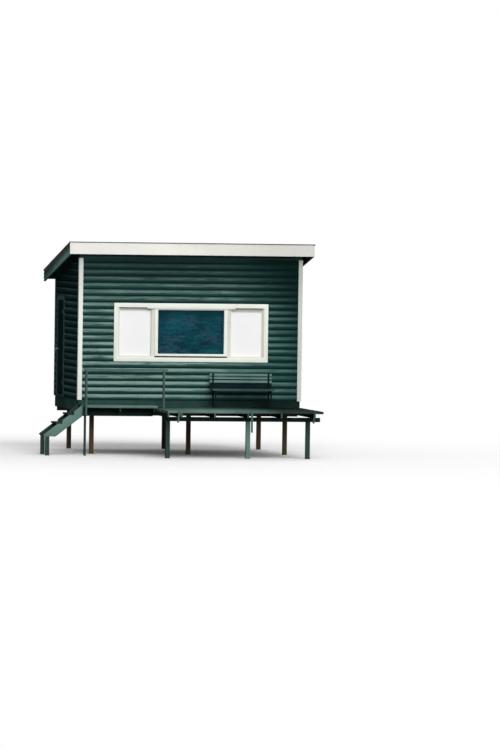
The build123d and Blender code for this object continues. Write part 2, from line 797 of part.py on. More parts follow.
with BuildPart() as rail_stubs:
    stub_centres = [deck_x[0] + STUB_FROM_LEFT] + [right - reach for reach in STUB_FROM_RIGHT]
    for centre, length, lean in zip(stub_centres, STUB_LENGTH, STUB_LEAN):
        x = centre - STUB / 2
        shift = length * tan(radians(lean))
        front_profile(
            (
                (x, DECK_TOP),
                (x + STUB, DECK_TOP),
                (x + STUB - shift, DECK_TOP - length),
                (x - shift, DECK_TOP - length),
            ),
            (deck_front - STUB, deck_front),
        )
finish(rail_stubs, "rail_stubs")

# Stair: two notched stringers, treads, a header and legs under the stringers' feet
stair_top_x = left - THIN
plumb_width = STRINGER_WIDTH / cos(atan(STAIR_PITCH))
foot_left = left - STAIR_REACH


def edge_height(x):
    """Height of a stringer's upper edge at x."""
    return STRINGER_TOP - STAIR_PITCH * (stair_top_x - x)


def edge_x(height):
    """X at which a stringer's upper edge has this height."""
    return stair_top_x - (STRINGER_TOP - height) / STAIR_PITCH


stringer_outline = [(stair_top_x, STRINGER_TOP - plumb_width), (stair_top_x, STRINGER_TOP)]
notches = []
for number in range(TREAD_COUNT):
    riser_x = stair_top_x - RISER_LINE - number * TREAD_RUN
    seat = edge_height(riser_x) - NOTCH_DEPTH
    notches.append((riser_x, seat))
    stringer_outline += [(riser_x, edge_height(riser_x)), (riser_x, seat), (edge_x(seat), seat)]
foot_toe = foot_left + THIN + NARROW
stringer_outline += [
    (foot_left, edge_height(foot_left)),
    (foot_toe - NARROW, STAIR_FOOT),
    (edge_x(STAIR_FOOT + plumb_width), STAIR_FOOT),
]
stringer_ys = (
    (front - NEAR_STRINGER - THIN, front - NEAR_STRINGER),
    (front - FAR_STRINGER - THIN, front - FAR_STRINGER),
)
with BuildPart() as stair_stringers:
    for y in stringer_ys:
        front_profile(stringer_outline, y)
finish(stair_stringers, "stair_stringers")

with BuildPart() as stair_treads:
    for riser_x, seat in notches:
        slab((riser_x - TREAD_DEPTH, riser_x), (stringer_ys[0][0], stringer_ys[1][1]), (seat, seat + THIN))
finish(stair_treads, "stair_treads")

with BuildPart() as stair_header:
    slab(
        (stair_top_x, left),
        (walkway_front, front - THIN),
        (STRINGER_TOP - plumb_width, DECK_TOP),
    )
finish(stair_header, "stair_header")

with BuildPart() as stair_legs:
    for y in stringer_ys:
        slab((foot_toe - NARROW, foot_toe), y, (0, STAIR_FOOT))
finish(stair_legs, "stair_legs")

# Bench on the wide deck, facing the lake
bench_x = (right - BENCH_FROM_RIGHT, right - BENCH_FROM_RIGHT + BENCH_LENGTH)
bench_rear = front - BENCH_FROM_WALL
bench_rest = bench_rear - BENCH_BAR
bench_front = bench_rest - BENCH_SEAT_DEPTH
seat_top = DECK_TOP + BENCH_SEAT_HEIGHT
seat_bottom = seat_top - THIN
bench_back = DECK_TOP + BENCH_BACK_HEIGHT
with BuildPart() as bench_frames:
    for x in (bench_x[0] + BENCH_SPAN_INSET, bench_x[1] - BENCH_SPAN_INSET - BENCH_BAR):
        side_profile(
            (
                (bench_rear, DECK_TOP),
                (bench_rear, bench_back),
                (bench_rest, bench_back),
                (bench_rest, seat_bottom),
                (bench_front, seat_bottom),
                (bench_front, DECK_TOP),
                (bench_front + BENCH_BAR, DECK_TOP),
                (bench_front + BENCH_BAR, seat_bottom - BENCH_BAR),
                (bench_rest, seat_bottom - BENCH_BAR),
                (bench_rest, DECK_TOP),
            ),
            (x, x + BENCH_BAR),
        )
finish(bench_frames, "bench_frames")

with BuildPart() as bench_seat:
    slab(bench_x, (bench_front - BENCH_SLAT, bench_rest), (seat_bottom, seat_top))
finish(bench_seat, "bench_seat")

with BuildPart() as bench_slats:
    for bottom, width in BENCH_SLATS:
        low = DECK_TOP + bottom
        slab(bench_x, (bench_rear, bench_rear + BENCH_SLAT), (low, low + width))
finish(bench_slats, "bench_slats")

with BuildPart() as bench_panel:
    low = DECK_TOP + BENCH_PANEL[0]
    slab(bench_x, (bench_rear, bench_rear + BENCH_SLAT), (low, low + BENCH_PANEL[1]))
finish(bench_panel, "bench_panel")
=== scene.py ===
"""Looks of the boathouse: paint, boards, roofing, fasteners, glass and a plain studio."""

import json
import math

import bmesh
import bpy
from mathutils import Matrix, Vector

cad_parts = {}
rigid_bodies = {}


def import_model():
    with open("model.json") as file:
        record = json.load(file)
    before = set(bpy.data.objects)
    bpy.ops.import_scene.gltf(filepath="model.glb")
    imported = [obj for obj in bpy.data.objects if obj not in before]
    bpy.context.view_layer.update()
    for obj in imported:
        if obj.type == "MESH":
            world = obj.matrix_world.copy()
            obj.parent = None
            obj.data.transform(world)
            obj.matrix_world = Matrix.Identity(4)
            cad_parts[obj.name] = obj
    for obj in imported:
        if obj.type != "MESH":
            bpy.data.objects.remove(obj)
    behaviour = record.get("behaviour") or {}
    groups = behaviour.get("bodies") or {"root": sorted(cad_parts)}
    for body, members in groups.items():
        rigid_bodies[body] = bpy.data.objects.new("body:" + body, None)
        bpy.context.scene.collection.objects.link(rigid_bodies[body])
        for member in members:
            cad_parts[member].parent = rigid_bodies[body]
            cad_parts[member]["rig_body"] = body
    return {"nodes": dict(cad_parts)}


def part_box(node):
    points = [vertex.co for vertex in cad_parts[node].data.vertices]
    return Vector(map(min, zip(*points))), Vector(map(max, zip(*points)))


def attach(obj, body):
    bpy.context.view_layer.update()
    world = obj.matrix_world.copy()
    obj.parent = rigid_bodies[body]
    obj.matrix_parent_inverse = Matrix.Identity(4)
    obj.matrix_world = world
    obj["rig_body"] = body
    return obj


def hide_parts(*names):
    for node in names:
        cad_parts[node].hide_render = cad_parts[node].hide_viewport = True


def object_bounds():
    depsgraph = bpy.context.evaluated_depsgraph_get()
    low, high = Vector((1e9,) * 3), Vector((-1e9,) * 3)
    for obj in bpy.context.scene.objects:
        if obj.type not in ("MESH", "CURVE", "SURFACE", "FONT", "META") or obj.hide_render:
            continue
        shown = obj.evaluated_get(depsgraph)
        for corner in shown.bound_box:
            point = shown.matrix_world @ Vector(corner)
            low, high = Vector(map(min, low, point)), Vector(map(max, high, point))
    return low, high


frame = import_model()

bl_info = {
    "name": "Boathouse",
    "version": (1, 0, 0),
    "blender": (4, 5, 0),
    "location": "3D View > Sidebar > Boathouse",
    "description": "Dresses the boathouse with painted siding, deck boards, roofing and fasteners",
    "category": "Object",
}

COURSE = 0.1375  # height of a log course, in metres like all the others
BULGE = 0.020  # how far a course swells
SIDING_LENGTH = 3.66  # length of a piece of siding
LINING_WIDTH = 0.19  # width of a lining board in the room
SUNK = 0.0005  # how deep a fastener's head sits
CLEAR = 0.01  # how far the nails keep from a casing

CAD_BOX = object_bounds()
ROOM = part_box("floor")
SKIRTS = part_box("skirts_long")
SKIRT_TOP = SKIRTS[1].z
WALL_FRONT, WALL_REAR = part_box("frieze")[1].y, SKIRTS[1].y
WALL_LEFT, WALL_RIGHT = SKIRTS[0].x, SKIRTS[1].x
WINDOW_MIDDLE = sum(corner.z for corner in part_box("window_casing")) / 2
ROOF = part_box("roofing")
ROOF_TOP = CAD_BOX[1][2]
ROOF_SLOPE = 0.19

ALONG_X, ALONG_Y, ALONG_Z = range(3)
RIGHT, BACK, UP = (1, 0, 0), (0, 1, 0), (0, 0, 1)
LEFT, FRONT = (-1, 0, 0), (0, -1, 0)
BLACK = (0.0, 0.0, 0.0)


# Node trees


class Signal:
    """An output socket, so that sums in a node tree read like sums in Python."""

    def __init__(self, graph, socket):
        self.graph = graph
        self.socket = socket

    def __add__(self, other):
        return self.graph.math("ADD", self, other)

    def __sub__(self, other):
        return self.graph.math("SUBTRACT", self, other)

    def __rsub__(self, other):
        return self.graph.math("SUBTRACT", other, self)

    def __mul__(self, other):
        return self.graph.math("MULTIPLY", self, other)

    def __truediv__(self, other):
        return self.graph.math("DIVIDE", self, other)


class Graph:
    """A node tree that is built by calls, for materials and for geometry alike."""

    def __init__(self, tree):
        self.tree = tree

    def add(self, kind, inputs=None, settings=None, output=0):
        """Add a node with its inputs and settings, and give one of its outputs."""
        node = self.tree.nodes.new(kind)
        for key, value in (settings or {}).items():
            setattr(node, key, value)
        for key, value in (inputs or {}).items():
            self.feed(node.inputs[key], value)
        return Signal(self, node.outputs[output])

    def feed(self, socket, value):
        """Link a signal to a socket, or set the socket to a plain value."""
        if isinstance(value, Signal):
            self.tree.links.new(value.socket, socket)
        elif socket.type == "RGBA":
            socket.default_value = (*value, 1.0)
        else:
            socket.default_value = value

    def math(self, operation, first, second=0.0):
        """A sum on one or two numbers."""
        return self.add("ShaderNodeMath", {0: first, 1: second}, {"operation": operation})

    def rise(self, value, low, high, start=0.0, end=1.0):
        """A smooth rise from start to end while the value goes from low to high."""
        inputs = {"Value": value, "From Min": low, "From Max": high, "To Min": start, "To Max": end}
        return self.add("ShaderNodeMapRange", inputs, {"interpolation_type": "SMOOTHSTEP"})

    def mix(self, factor, first, second, blend="MIX"):
        """A mix of two colours."""
        settings = {"data_type": "RGBA", "blend_type": blend, "clamp_factor": True}
        return self.add("ShaderNodeMix", {0: factor, 6: first, 7: second}, settings, 2)

    def point(self):
        """Object coordinates."""
        return self.add("ShaderNodeTexCoord", output="Object")

    def axes(self):
        """The three object coordinates as numbers."""
        split = self.add("ShaderNodeSeparateXYZ", {0: self.point()}).socket.node
        return [Signal(self, socket) for socket in split.outputs]

    def reach(self, direction):
        """How far a point lies along a direction."""
        inputs = {0: self.point(), 1: direction}
        return self.add("ShaderNodeVectorMath", inputs, {"operation": "DOT_PRODUCT"}, "Value")

    def noise(self, scale, detail, roughness, shift=(0, 0, 0)):
        """Cloudy noise from 0 to 1, drawn out along the axes where the scale is small."""
        inputs = {"Vector": self.point(), "Scale": scale, "Location": shift}
        place = self.add("ShaderNodeMapping", inputs)
        inputs = {"Vector": place, "Scale": 1.0, "Detail": detail, "Roughness": roughness}
        return self.add("ShaderNodeTexNoise", inputs)

    def random(self, number):
        """A random value that is the same for equal numbers."""
        return self.add("ShaderNodeTexWhiteNoise", {"W": number}, {"noise_dimensions": "1D"})


class Surface(Graph):
    """The node tree of a new material, with its Principled shader and the slot it belongs to."""

    def __init__(self, name, slot):
        self.material = bpy.data.materials.new(name)
        self.material.use_nodes = True
        self.material["slot"] = slot
        super().__init__(self.material.node_tree)
        self.shader = self.tree.nodes["Principled BSDF"]
        self.inputs = self.shader.inputs

    def coat(self, colour, rough, sheen=0.5):
        """Feed a colour and a roughness to the shader, and set how much it shines."""
        self.feed(self.inputs["Base Color"], colour)
        self.feed(self.inputs["Roughness"], rough)
        self.inputs["Specular IOR Level"].default_value = sheen

    def relief(self, height, distance):
        """Feed a height to the shader's normal."""
        inputs = {"Height": height, "Distance": distance, "Strength": 0.8}
        self.feed(self.inputs["Normal"], self.add("ShaderNodeBump", inputs))


def scaled(colour, share):
    """A colour made darker, or lighter where the share is over 1."""
    return tuple(share * channel for channel in colour)


def tinted(colour, tint):
    """A colour with a share of its own for each channel."""
    return tuple(share * channel for share, channel in zip(tint, colour))


def wood_grain(graph, along, fine=1.0):
    """Grain drawn out along the boards, from 0 to 1."""
    scale = [34.0 * fine] * 3
    scale[along] = 1.3
    return graph.noise(tuple(scale), 5.0, 0.62)


def painted_wood(
    name, slot, paint, faded, along, fade=0.5, dirt=0.25, rough=0.6, sheen=0.0, board=None, painted_shade=()
):
    """Paint over boards: it fades in patches, follows the grain and collects dirt.

    board holds the axis, first edge and pitch of boards that each have their own tone.
    Painted shade ramps: a direction, two places along it and how light the paint is at each.
    """
    graph = Surface(name, slot)
    grain = wood_grain(graph, along)
    patches = graph.noise((1.1, 1.1, 1.1), 4.0, 0.6, (3.1, 7.7, 1.9))
    specks = graph.noise((70.0, 70.0, 70.0), 2.0, 0.55)
    worn = graph.rise(patches * 0.65 + grain * 0.35, 0.38, 0.64)
    tone = worn * fade
    if board:
        axis, first, pitch = board
        number = graph.math("FLOOR", (graph.axes()[axis] - first) / pitch)
        tone = tone + (graph.random(number) - 0.5) * (0.55 * fade)
    colour = graph.mix(tone, paint, faded)
    grime = scaled(paint, 0.28)
    smears = graph.noise((2.6, 2.6, 1.2), 6.0, 0.7)
    colour = graph.mix(graph.rise(smears, 0.54, 0.78, 0.0, dirt), colour, grime)
    colour = graph.mix(graph.rise(specks, 0.66, 0.74, 0.0, 0.5 * dirt), colour, grime)
    # Painted shade: each ramp darkens the paint towards one end.
    for direction, *span in painted_shade:
        colour = graph.mix(graph.rise(graph.reach(direction), *span), BLACK, colour)
    graph.coat(colour, grain * 0.16 + (rough + 0.04 * fade), sheen)
    graph.relief(grain + specks * 0.3, 0.0009)
    return graph.material


def log_siding(name, colours, sun_side):
    """Painted log siding: chalk and painted highlight on each course's upper half, a dark joint.

    The paint is darker and less chalky under the eaves. On the sun side, painted shade makes it
    darker and cooler towards the right end and behind the bench, painted light makes it chalkier
    low on the left, and the lowest courses are less chalky. The sides have less chalk and a
    painted highlight on each crest. The room side has bare upright boards.
    """
    paint, chalk, joint = colours
    graph = Surface(name, "siding_green")
    x, y, z = graph.axes()
    level = (z - SKIRT_TOP) / COURSE
    number = graph.math("FLOOR", level)
    part = level - number
    along = x + y
    own = graph.random(number + 0.37)
    wobble = graph.noise((1.1, 1.1, 7.3), 5.0, 0.6) - 0.5
    streaks = graph.noise((2.2, 2.2, 26.0), 5.0, 0.6, (0.0, 5.3, 0.0))
    fine = graph.noise((9.0, 9.0, 90.0), 4.0, 0.6)
    patches = graph.noise((0.8, 0.8, 1.1), 3.0, 0.5, (1.7, 0.0, 4.1))
    # Chalk and, partly, painted highlight on the upper half of each course.
    crown_chalk_and_highlight = graph.rise(part + wobble * 0.34, 0.28, 0.60)
    crown_chalk_and_highlight = crown_chalk_and_highlight * graph.rise(part + wobble * 0.2, 0.97, 0.74)
    # How chalky the paint is: less under the eaves, and shaped by painted light and shade below.
    weathering_and_painted_light = graph.rise(z, ROOF_TOP - 0.30, ROOF_TOP - 1.55, 0.06, 1.0)
    if sun_side:
        # Painted shade: less chalk towards the right end, more so higher up.
        weathering_and_painted_light = weathering_and_painted_light * graph.rise(x + (z - WINDOW_MIDDLE) * 0.28, 3.3, 0.9)
        # Painted light: more chalk low on the left.
        lower_left_painted_light = graph.rise(z, 3.25, 2.1) * graph.rise(x, 1.0, -1.2)
        weathering_and_painted_light = weathering_and_painted_light * (lower_left_painted_light * 0.65 + 1.0)
        # Painted shade: less chalk behind the bench.
        painted_bench_shade = graph.rise(x, 0.5, 1.4) * graph.rise(x, 2.4, 1.8) * graph.rise(z, 2.25, 1.9)
        weathering_and_painted_light = weathering_and_painted_light * (painted_bench_shade * -0.35 + 1.0)
        weathering_and_painted_light = weathering_and_painted_light * graph.rise(z, 1.17, 1.5, 0.70, 1.0)
    else:
        # Painted shade and highlight: less chalk on the sides, a painted highlight on each crest.
        crest = graph.rise(part, 0.70, 0.80) * graph.rise(part, 0.97, 0.90)
        weathering_and_painted_light = weathering_and_painted_light * 0.35 + crest * 0.5
    # The chalk mask carries the painted highlight and the painted light and shade above.
    chalky = crown_chalk_and_highlight * weathering_and_painted_light * (streaks * 2.0 + own * 0.42 - 0.57 + (patches - 0.5) * 1.2)
    # Darker paint where the chalk is low: under the eaves, and where the painted shade falls.
    deep = graph.rise(weathering_and_painted_light, 0.9, 0.1, 0.0, 0.8)
    colour = graph.mix(deep, paint, scaled(paint, 0.30))
    colour = graph.mix(chalky, colour, chalk)
    if sun_side:
        # Painted shade: cooler towards the right end, and darker towards the top right.
        colour = graph.mix(graph.rise(x, 0.9, 2.4), colour, (0.76, 0.96, 1.0), "MULTIPLY")
        painted_shade_right = graph.rise(x + (z - WINDOW_MIDDLE) * 0.9, 2.3, 3.9, 0.0, 0.55)
        colour = graph.mix(painted_shade_right, colour, BLACK)
    colour = graph.mix(graph.rise(fine, 0.60, 0.76, 0.0, 0.5), colour, joint)
    checks = graph.noise((1.6, 1.6, 42.0), 4.0, 0.6, (4.0, 1.0, 2.0))
    colour = graph.mix(graph.rise(checks, 0.60, 0.70, 0.0, 0.7), colour, joint)
    gap = graph.rise(part + wobble * 0.10, 0.16, 0.035) + graph.rise(part, 0.93, 0.985)
    butt = graph.math("ABSOLUTE", graph.math("FRACT", along / SIDING_LENGTH + own * 7.0) - 0.5)
    butt = graph.rise(butt, 0.0012, 0.0006)
    colour = graph.mix(gap + butt * 0.9, colour, joint)
    room = 1.0
    skin = 0.004
    for value, low, high in zip((x, y), *ROOM):
        after = graph.math("GREATER_THAN", value, low - skin)
        room = after * graph.math("LESS_THAN", value, high + skin) * room
    lining = graph.math("FRACT", along / LINING_WIDTH)
    lining_gap = graph.rise(graph.math("ABSOLUTE", lining - 0.5), 0.485, 0.495)
    lining_tone = graph.random(graph.math("FLOOR", along / LINING_WIDTH))
    tone = wood_grain(graph, ALONG_Z) * 0.6 + lining_tone * 0.4
    inside = graph.mix(tone, (0.26, 0.17, 0.095), (0.44, 0.31, 0.19))
    inside = graph.mix(lining_gap, inside, (0.05, 0.03, 0.02))
    graph.coat(graph.mix(room, colour, inside), streaks * 0.18 + 0.62, 0.0)
    graph.relief(streaks * 0.5 + fine * 0.5 - butt * 2.0 - gap * 0.6, 0.0012)
    return graph.material


def bare_boards(name, along, shade, board=None):
    """Unpainted softwood, browned, a little dusty, darker with age and painted shade where shade is
    low.
    """
    graph = Surface(name, "bare_wood")
    grain = wood_grain(graph, along, 1.6)
    tone = grain * 0.8
    height = grain
    if board:
        axis, first, pitch = board
        level = (graph.axes()[axis] - first) / pitch
        number = graph.math("FLOOR", level)
        tone = tone + graph.random(number) * 0.4 - 0.15
        seam = graph.rise(graph.math("ABSOLUTE", level - number - 0.5), 0.482, 0.494)
        height = grain - seam * 3.0
    old, new, grey = (0.16, 0.098, 0.052), (0.46, 0.33, 0.20), (0.30, 0.27, 0.23)
    colour = graph.mix(tone, scaled(old, shade), scaled(new, shade))
    dust = graph.rise(graph.noise((1.7, 1.7, 1.7), 5.0, 0.7), 0.42, 0.75, 0.0, 0.45)
    colour = graph.mix(dust, colour, scaled(grey, shade))
    if board:
        colour = graph.mix(seam, colour, (0.03, 0.02, 0.015))
    graph.coat(colour, grain * 0.2 + 0.62, 0.1)
    graph.relief(height, 0.0008)
    return graph.material


def window_pane(name, colours, left, right, top):
    """Dark tinted glass: pale and blue streaks of painted reflection, painted shade at sides and
    top.
    """
    deep, painted_light, cool = colours
    graph = Surface(name, "window_glass")
    clouds = graph.noise((1.9, 1.0, 2.6), 5.0, 0.6, (0.4, 0.0, 1.3))
    ripples = graph.noise((5.0, 1.0, 34.0), 4.0, 0.65)
    specks = graph.noise((22.0, 1.0, 30.0), 3.0, 0.6)
    blots = graph.noise((2.4, 1.0, 7.0), 4.0, 0.6, (9.0, 0.0, 3.0))
    x, y, z = graph.axes()
    # Painted shade at the sides and the top of the pane.
    edge_shade = graph.rise(x, left, left + 0.30, 0.45, 1.0)
    edge_shade = edge_shade * graph.rise(x, right, right - 0.16, 0.45, 1.0)
    edge_shade = edge_shade * graph.rise(z, top, top - 0.30, 0.35, 1.0)
    # Painted reflections: pale streaks and blue blots, weaker in the painted edge shade.
    light = graph.rise(clouds * 0.45 + ripples * 0.30 + specks * 0.25, 0.36, 0.62) * edge_shade
    blue_reflection = graph.rise(blots * 0.6 + ripples * 0.4, 0.50, 0.62, 0.0, 0.8) * edge_shade
    colour = graph.mix(blue_reflection, graph.mix(light, deep, painted_light), cool)
    graph.coat(colour, graph.rise(specks, 0.3, 0.8, 0.05, 0.16))
    graph.inputs["Alpha"].default_value = 0.9
    graph.inputs["IOR"].default_value = 1.45
    graph.inputs["Specular Tint"].default_value = (0.10, 0.50, 0.62, 1.0)
    return graph.material


def painted_sheet(name, slot, paint, worn, metallic=0.0, rough=0.42):
    """Painted or plain metal with scuffs and a little dirt."""
    graph = Surface(name, slot)
    scuffs = graph.noise((3.0, 0.8, 3.0), 6.0, 0.68)
    specks = graph.noise((55.0, 55.0, 55.0), 3.0, 0.6)
    colour = graph.mix(graph.rise(scuffs, 0.45, 0.72), paint, worn)
    colour = graph.mix(graph.rise(specks, 0.63, 0.72, 0.0, 0.5), colour, scaled(paint, 0.5))
    graph.coat(colour, scuffs * 0.25 + (rough - 0.12))
    graph.inputs["Metallic"].default_value = metallic
    graph.relief(specks, 0.0003)
    return graph.material


def roofing_felt(name, colour):
    """Mineral felt: fine grit, faded patches and streaks, and a little moss."""
    graph = Surface(name, "roof_sheet")
    grit = graph.noise((210.0, 210.0, 210.0), 2.0, 0.6)
    patches = graph.noise((0.9, 0.9, 0.9), 5.0, 0.62)
    streaks = graph.noise((7.0, 0.5, 0.5), 4.0, 0.6)
    faded = graph.rise(patches * 0.6 + streaks * 0.4, 0.36, 0.66)
    base = graph.mix(faded, colour, scaled(colour, 2.3))
    base = graph.mix(graph.rise(grit, 0.48, 0.62, 0.0, 0.45), base, scaled(colour, 0.4))
    tufts = graph.noise((3.2, 3.2, 3.2), 6.0, 0.7, (5.0, 2.0, 0.0))
    moss = graph.rise(tufts, 0.60, 0.74, 0.0, 0.6)
    base = graph.mix(moss, base, (0.045, 0.060, 0.020))
    graph.coat(base, grit * 0.15 + 0.78, 0.08)
    graph.relief(grit + moss * 2.0, 0.0008)
    return graph.material


# Meshes


def add_object(name, data):
    """Add an object to the scene."""
    thing = bpy.data.objects.new(name, data)
    bpy.context.scene.collection.objects.link(thing)
    return thing


def finished_mesh(made, name):
    """Turn a mesh that is being made into a plain one."""
    mesh = bpy.data.meshes.new(name)
    made.to_mesh(mesh)
    made.free()
    return mesh


def dress(thing, material):
    """Give an object one material."""
    thing.data.materials.clear()
    thing.data.materials.append(material)


def piece(thing, material, body):
    """Make an object a piece of the part, with one material, that rides on a body."""
    dress(thing, material)
    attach(thing, body)


def bevel(made, edges, radius, clamp):
    """Round edges of a mesh that is being made."""
    settings = {"segments": 2, "profile": 0.5, "affect": "EDGES", "clamp_overlap": clamp}
    bmesh.ops.bevel(made, geom=edges, offset=radius, **settings)


def eased(material, radius, *nodes):
    """Stand for CAD nodes with copies whose sharp edges are eased and whose curves are smooth."""
    flat, smooth, corner = math.radians(0.5), math.radians(25), math.radians(50)
    for node in nodes:
        made = bmesh.new()
        made.from_mesh(frame["nodes"][node].data)
        bmesh.ops.remove_doubles(made, verts=made.verts, dist=0.00002)
        bmesh.ops.dissolve_limit(made, angle_limit=flat, verts=made.verts, edges=made.edges)
        if radius:
            sharp = [e for e in made.edges if e.is_manifold and e.calc_face_angle() > corner]
            bevel(made, sharp, radius, True)
        bmesh.ops.triangulate(made, faces=[f for f in made.faces if len(f.verts) > 4])
        mesh = finished_mesh(made, node + "_eased")
        mesh.shade_smooth()
        mesh.set_sharp_from_angle(angle=smooth)
        thing = add_object(node + "_eased", mesh)
        piece(thing, material, frame["nodes"][node]["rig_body"])
        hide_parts(node)


def painted_nodes(slot, edge, rows):
    """Paint CAD nodes by rows: name, two paints, grain, fade, dirt, painted shade and the nodes."""
    for name, paint, faded, along, fade, dirt, painted_shade, *nodes in rows:
        timber = painted_wood(name, slot, paint, faded, along, fade, dirt, painted_shade=painted_shade)
        eased(timber, edge, *nodes)


def blocks(name, boxes, material, body, radius):
    """One piece made of straight boards with eased edges."""
    made = bmesh.new()
    for low, high in boxes:
        size = Vector(high) - Vector(low)
        middle = (Vector(high) + Vector(low)) / 2
        matrix = Matrix.Translation(middle) @ Matrix.Diagonal((*size, 1.0))
        verts = bmesh.ops.create_cube(made, size=1.0, matrix=matrix)["verts"]
        bevel(made, list({e for v in verts for e in v.link_edges}), radius, False)
    piece(add_object(name, finished_mesh(made, name)), material, body)


# Geometry Nodes


def new_tree(name, **inputs):
    """A geometry tree with named inputs of some kinds, its graph and a signal for each input."""
    tree = bpy.data.node_groups.new(name, "GeometryNodeTree")
    tree.interface.new_socket("Geometry", in_out="INPUT", socket_type="NodeSocketGeometry")
    tree.interface.new_socket("Geometry", in_out="OUTPUT", socket_type="NodeSocketGeometry")
    for kind, titles in inputs.items():
        for title in titles:
            tree.interface.new_socket(title, in_out="INPUT", socket_type="NodeSocket" + kind)
    graph = Graph(tree)
    start = tree.nodes.new("NodeGroupInput")
    signals = {socket.name: Signal(graph, socket) for socket in start.outputs if socket.name}
    return tree, graph, signals


def end_tree(tree, graph, geometry, material):
    """Close a tree with Realize Instances and Set Material."""
    real = graph.add("GeometryNodeRealizeInstances", {0: geometry})
    painted = graph.add("GeometryNodeSetMaterial", {"Geometry": real, "Material": material})
    finish = tree.nodes.new("NodeGroupOutput")
    graph.feed(finish.inputs["Geometry"], painted)


def boards_tree():
    """A row of boards with eased edges, each smaller than its measures by a hair of its own."""
    tree, graph, given = new_tree(
        "Row of boards",
        Vector=("First", "Step", "Turn"),
        Int=("Count", "Seed"),
        Float=("Length", "Width", "Thickness", "Edge", "Play"),
        Material=("Material",),
    )
    half = given["Length"] * 0.5
    start = graph.add("ShaderNodeCombineXYZ", {"X": 0.0 - half})
    end = graph.add("ShaderNodeCombineXYZ", {"X": half})
    path = graph.add("GeometryNodeCurvePrimitiveLine", {"Start": start, "End": end})
    outline = graph.add(
        "GeometryNodeCurvePrimitiveQuadrilateral",
        {"Width": given["Width"], "Height": given["Thickness"]},
        {"mode": "RECTANGLE"},
    )
    outline = graph.add("GeometryNodeFilletCurve", {"Curve": outline, "Radius": given["Edge"]})
    inputs = {"Curve": path, "Profile Curve": outline, "Fill Caps": True}
    board = graph.add("GeometryNodeCurveToMesh", inputs)
    points = graph.add(
        "GeometryNodeMeshLine",
        {"Count": given["Count"], "Start Location": given["First"], "Offset": given["Step"]},
        {"mode": "OFFSET"},
    )
    low = graph.add("ShaderNodeCombineXYZ", {"X": 1.0 - given["Play"], "Y": 0.995, "Z": 0.99})
    scale = graph.add(
        "FunctionNodeRandomValue",
        {"Min": low, "Max": (1.0, 1.0, 1.0), "Seed": given["Seed"]},
        {"data_type": "FLOAT_VECTOR"},
    )
    inputs = {"Points": points, "Instance": board, "Rotation": given["Turn"], "Scale": scale}
    row = graph.add("GeometryNodeInstanceOnPoints", inputs)
    end_tree(tree, graph, row, given["Material"])
    return tree


def heads_tree():
    """A low domed head on each point, facing one way."""
    tree, graph, given = new_tree(
        "Fastener heads", Vector=("Facing",), Float=("Radius", "Height"), Material=("Material",)
    )
    foot, crown_chalk_and_highlight = given["Radius"], given["Radius"] * 0.55
    inputs = {"Vertices": 8, "Radius Top": crown_chalk_and_highlight, "Radius Bottom": foot, "Depth": given["Height"]}
    head = graph.add("GeometryNodeMeshCone", inputs)
    facing = {"Vector": given["Facing"]}
    turn = graph.add("FunctionNodeAlignRotationToVector", facing, {"axis": "Z"})
    inputs = {"Points": given["Geometry"], "Instance": head, "Rotation": turn}
    row = graph.add("GeometryNodeInstanceOnPoints", inputs)
    end_tree(tree, graph, row, given["Material"])
    return tree


def tree_piece(name, mesh, tree, values, body):
    """A piece with a plain mesh made by a geometry tree, whose inputs are set by identifiers."""
    thing = add_object(name, mesh)
    modifier = thing.modifiers.new("Shape", "NODES")
    modifier.node_group = tree
    for item in tree.interface.items_tree:
        if item.in_out == "INPUT" and item.name in values:
            modifier[item.identifier] = values[item.name]
    bpy.context.view_layer.update()
    graph = bpy.context.evaluated_depsgraph_get()
    made = bpy.data.meshes.new_from_object(thing.evaluated_get(graph))
    thing.modifiers.clear()
    thing.data = made
    piece(thing, values["Material"], body)
    return thing


def row_of_boards(name, body, values):
    """Boards in a row that ride on a body."""
    tree = bpy.data.node_groups.get("Row of boards") or boards_tree()
    return tree_piece(name, bpy.data.meshes.new(name), tree, values, body)


def heads(name, points, facing, radius, height, material):
    """Fastener heads on a list of points of the house."""
    mesh = bpy.data.meshes.new(name)
    mesh.from_pydata(points, [], [])
    tree = bpy.data.node_groups.get("Fastener heads") or heads_tree()
    values = {"Facing": facing, "Radius": radius, "Height": height, "Material": material}
    tree_piece(name, mesh, tree, values, "house")


def spread(low, high, count):
    """Evenly spread numbers from low to high."""
    return [low + (high - low) * number / (count - 1) for number in range(count)]


def front_points(node, side, columns, end, rows):
    """Points in columns and rows on a node's front, set in from its sides and ends."""
    low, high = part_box(node)
    across = spread(low.x + side, high.x - side, columns)
    return [(x, low.y - SUNK, z) for x in across for z in spread(low.z + end, high.z - end, rows)]


def pairs(node, axis):
    """The two edges of each bar of a node, in their order along an axis."""
    places = sorted({round(v.co[axis], 3) for v in frame["nodes"][node].data.vertices})
    return list(zip(places[::2], places[1::2]))


# Settings


def colour_property(name, description, default):
    """A colour that a user may change."""
    return bpy.props.FloatVectorProperty(
        name=name, description=description, default=default, subtype="COLOR", min=0.0, max=1.0
    )


def length_property(name, description, default):
    """A length that a user may change."""
    return bpy.props.FloatProperty(
        name=name, description=description, default=default, min=0.0, unit="LENGTH"
    )


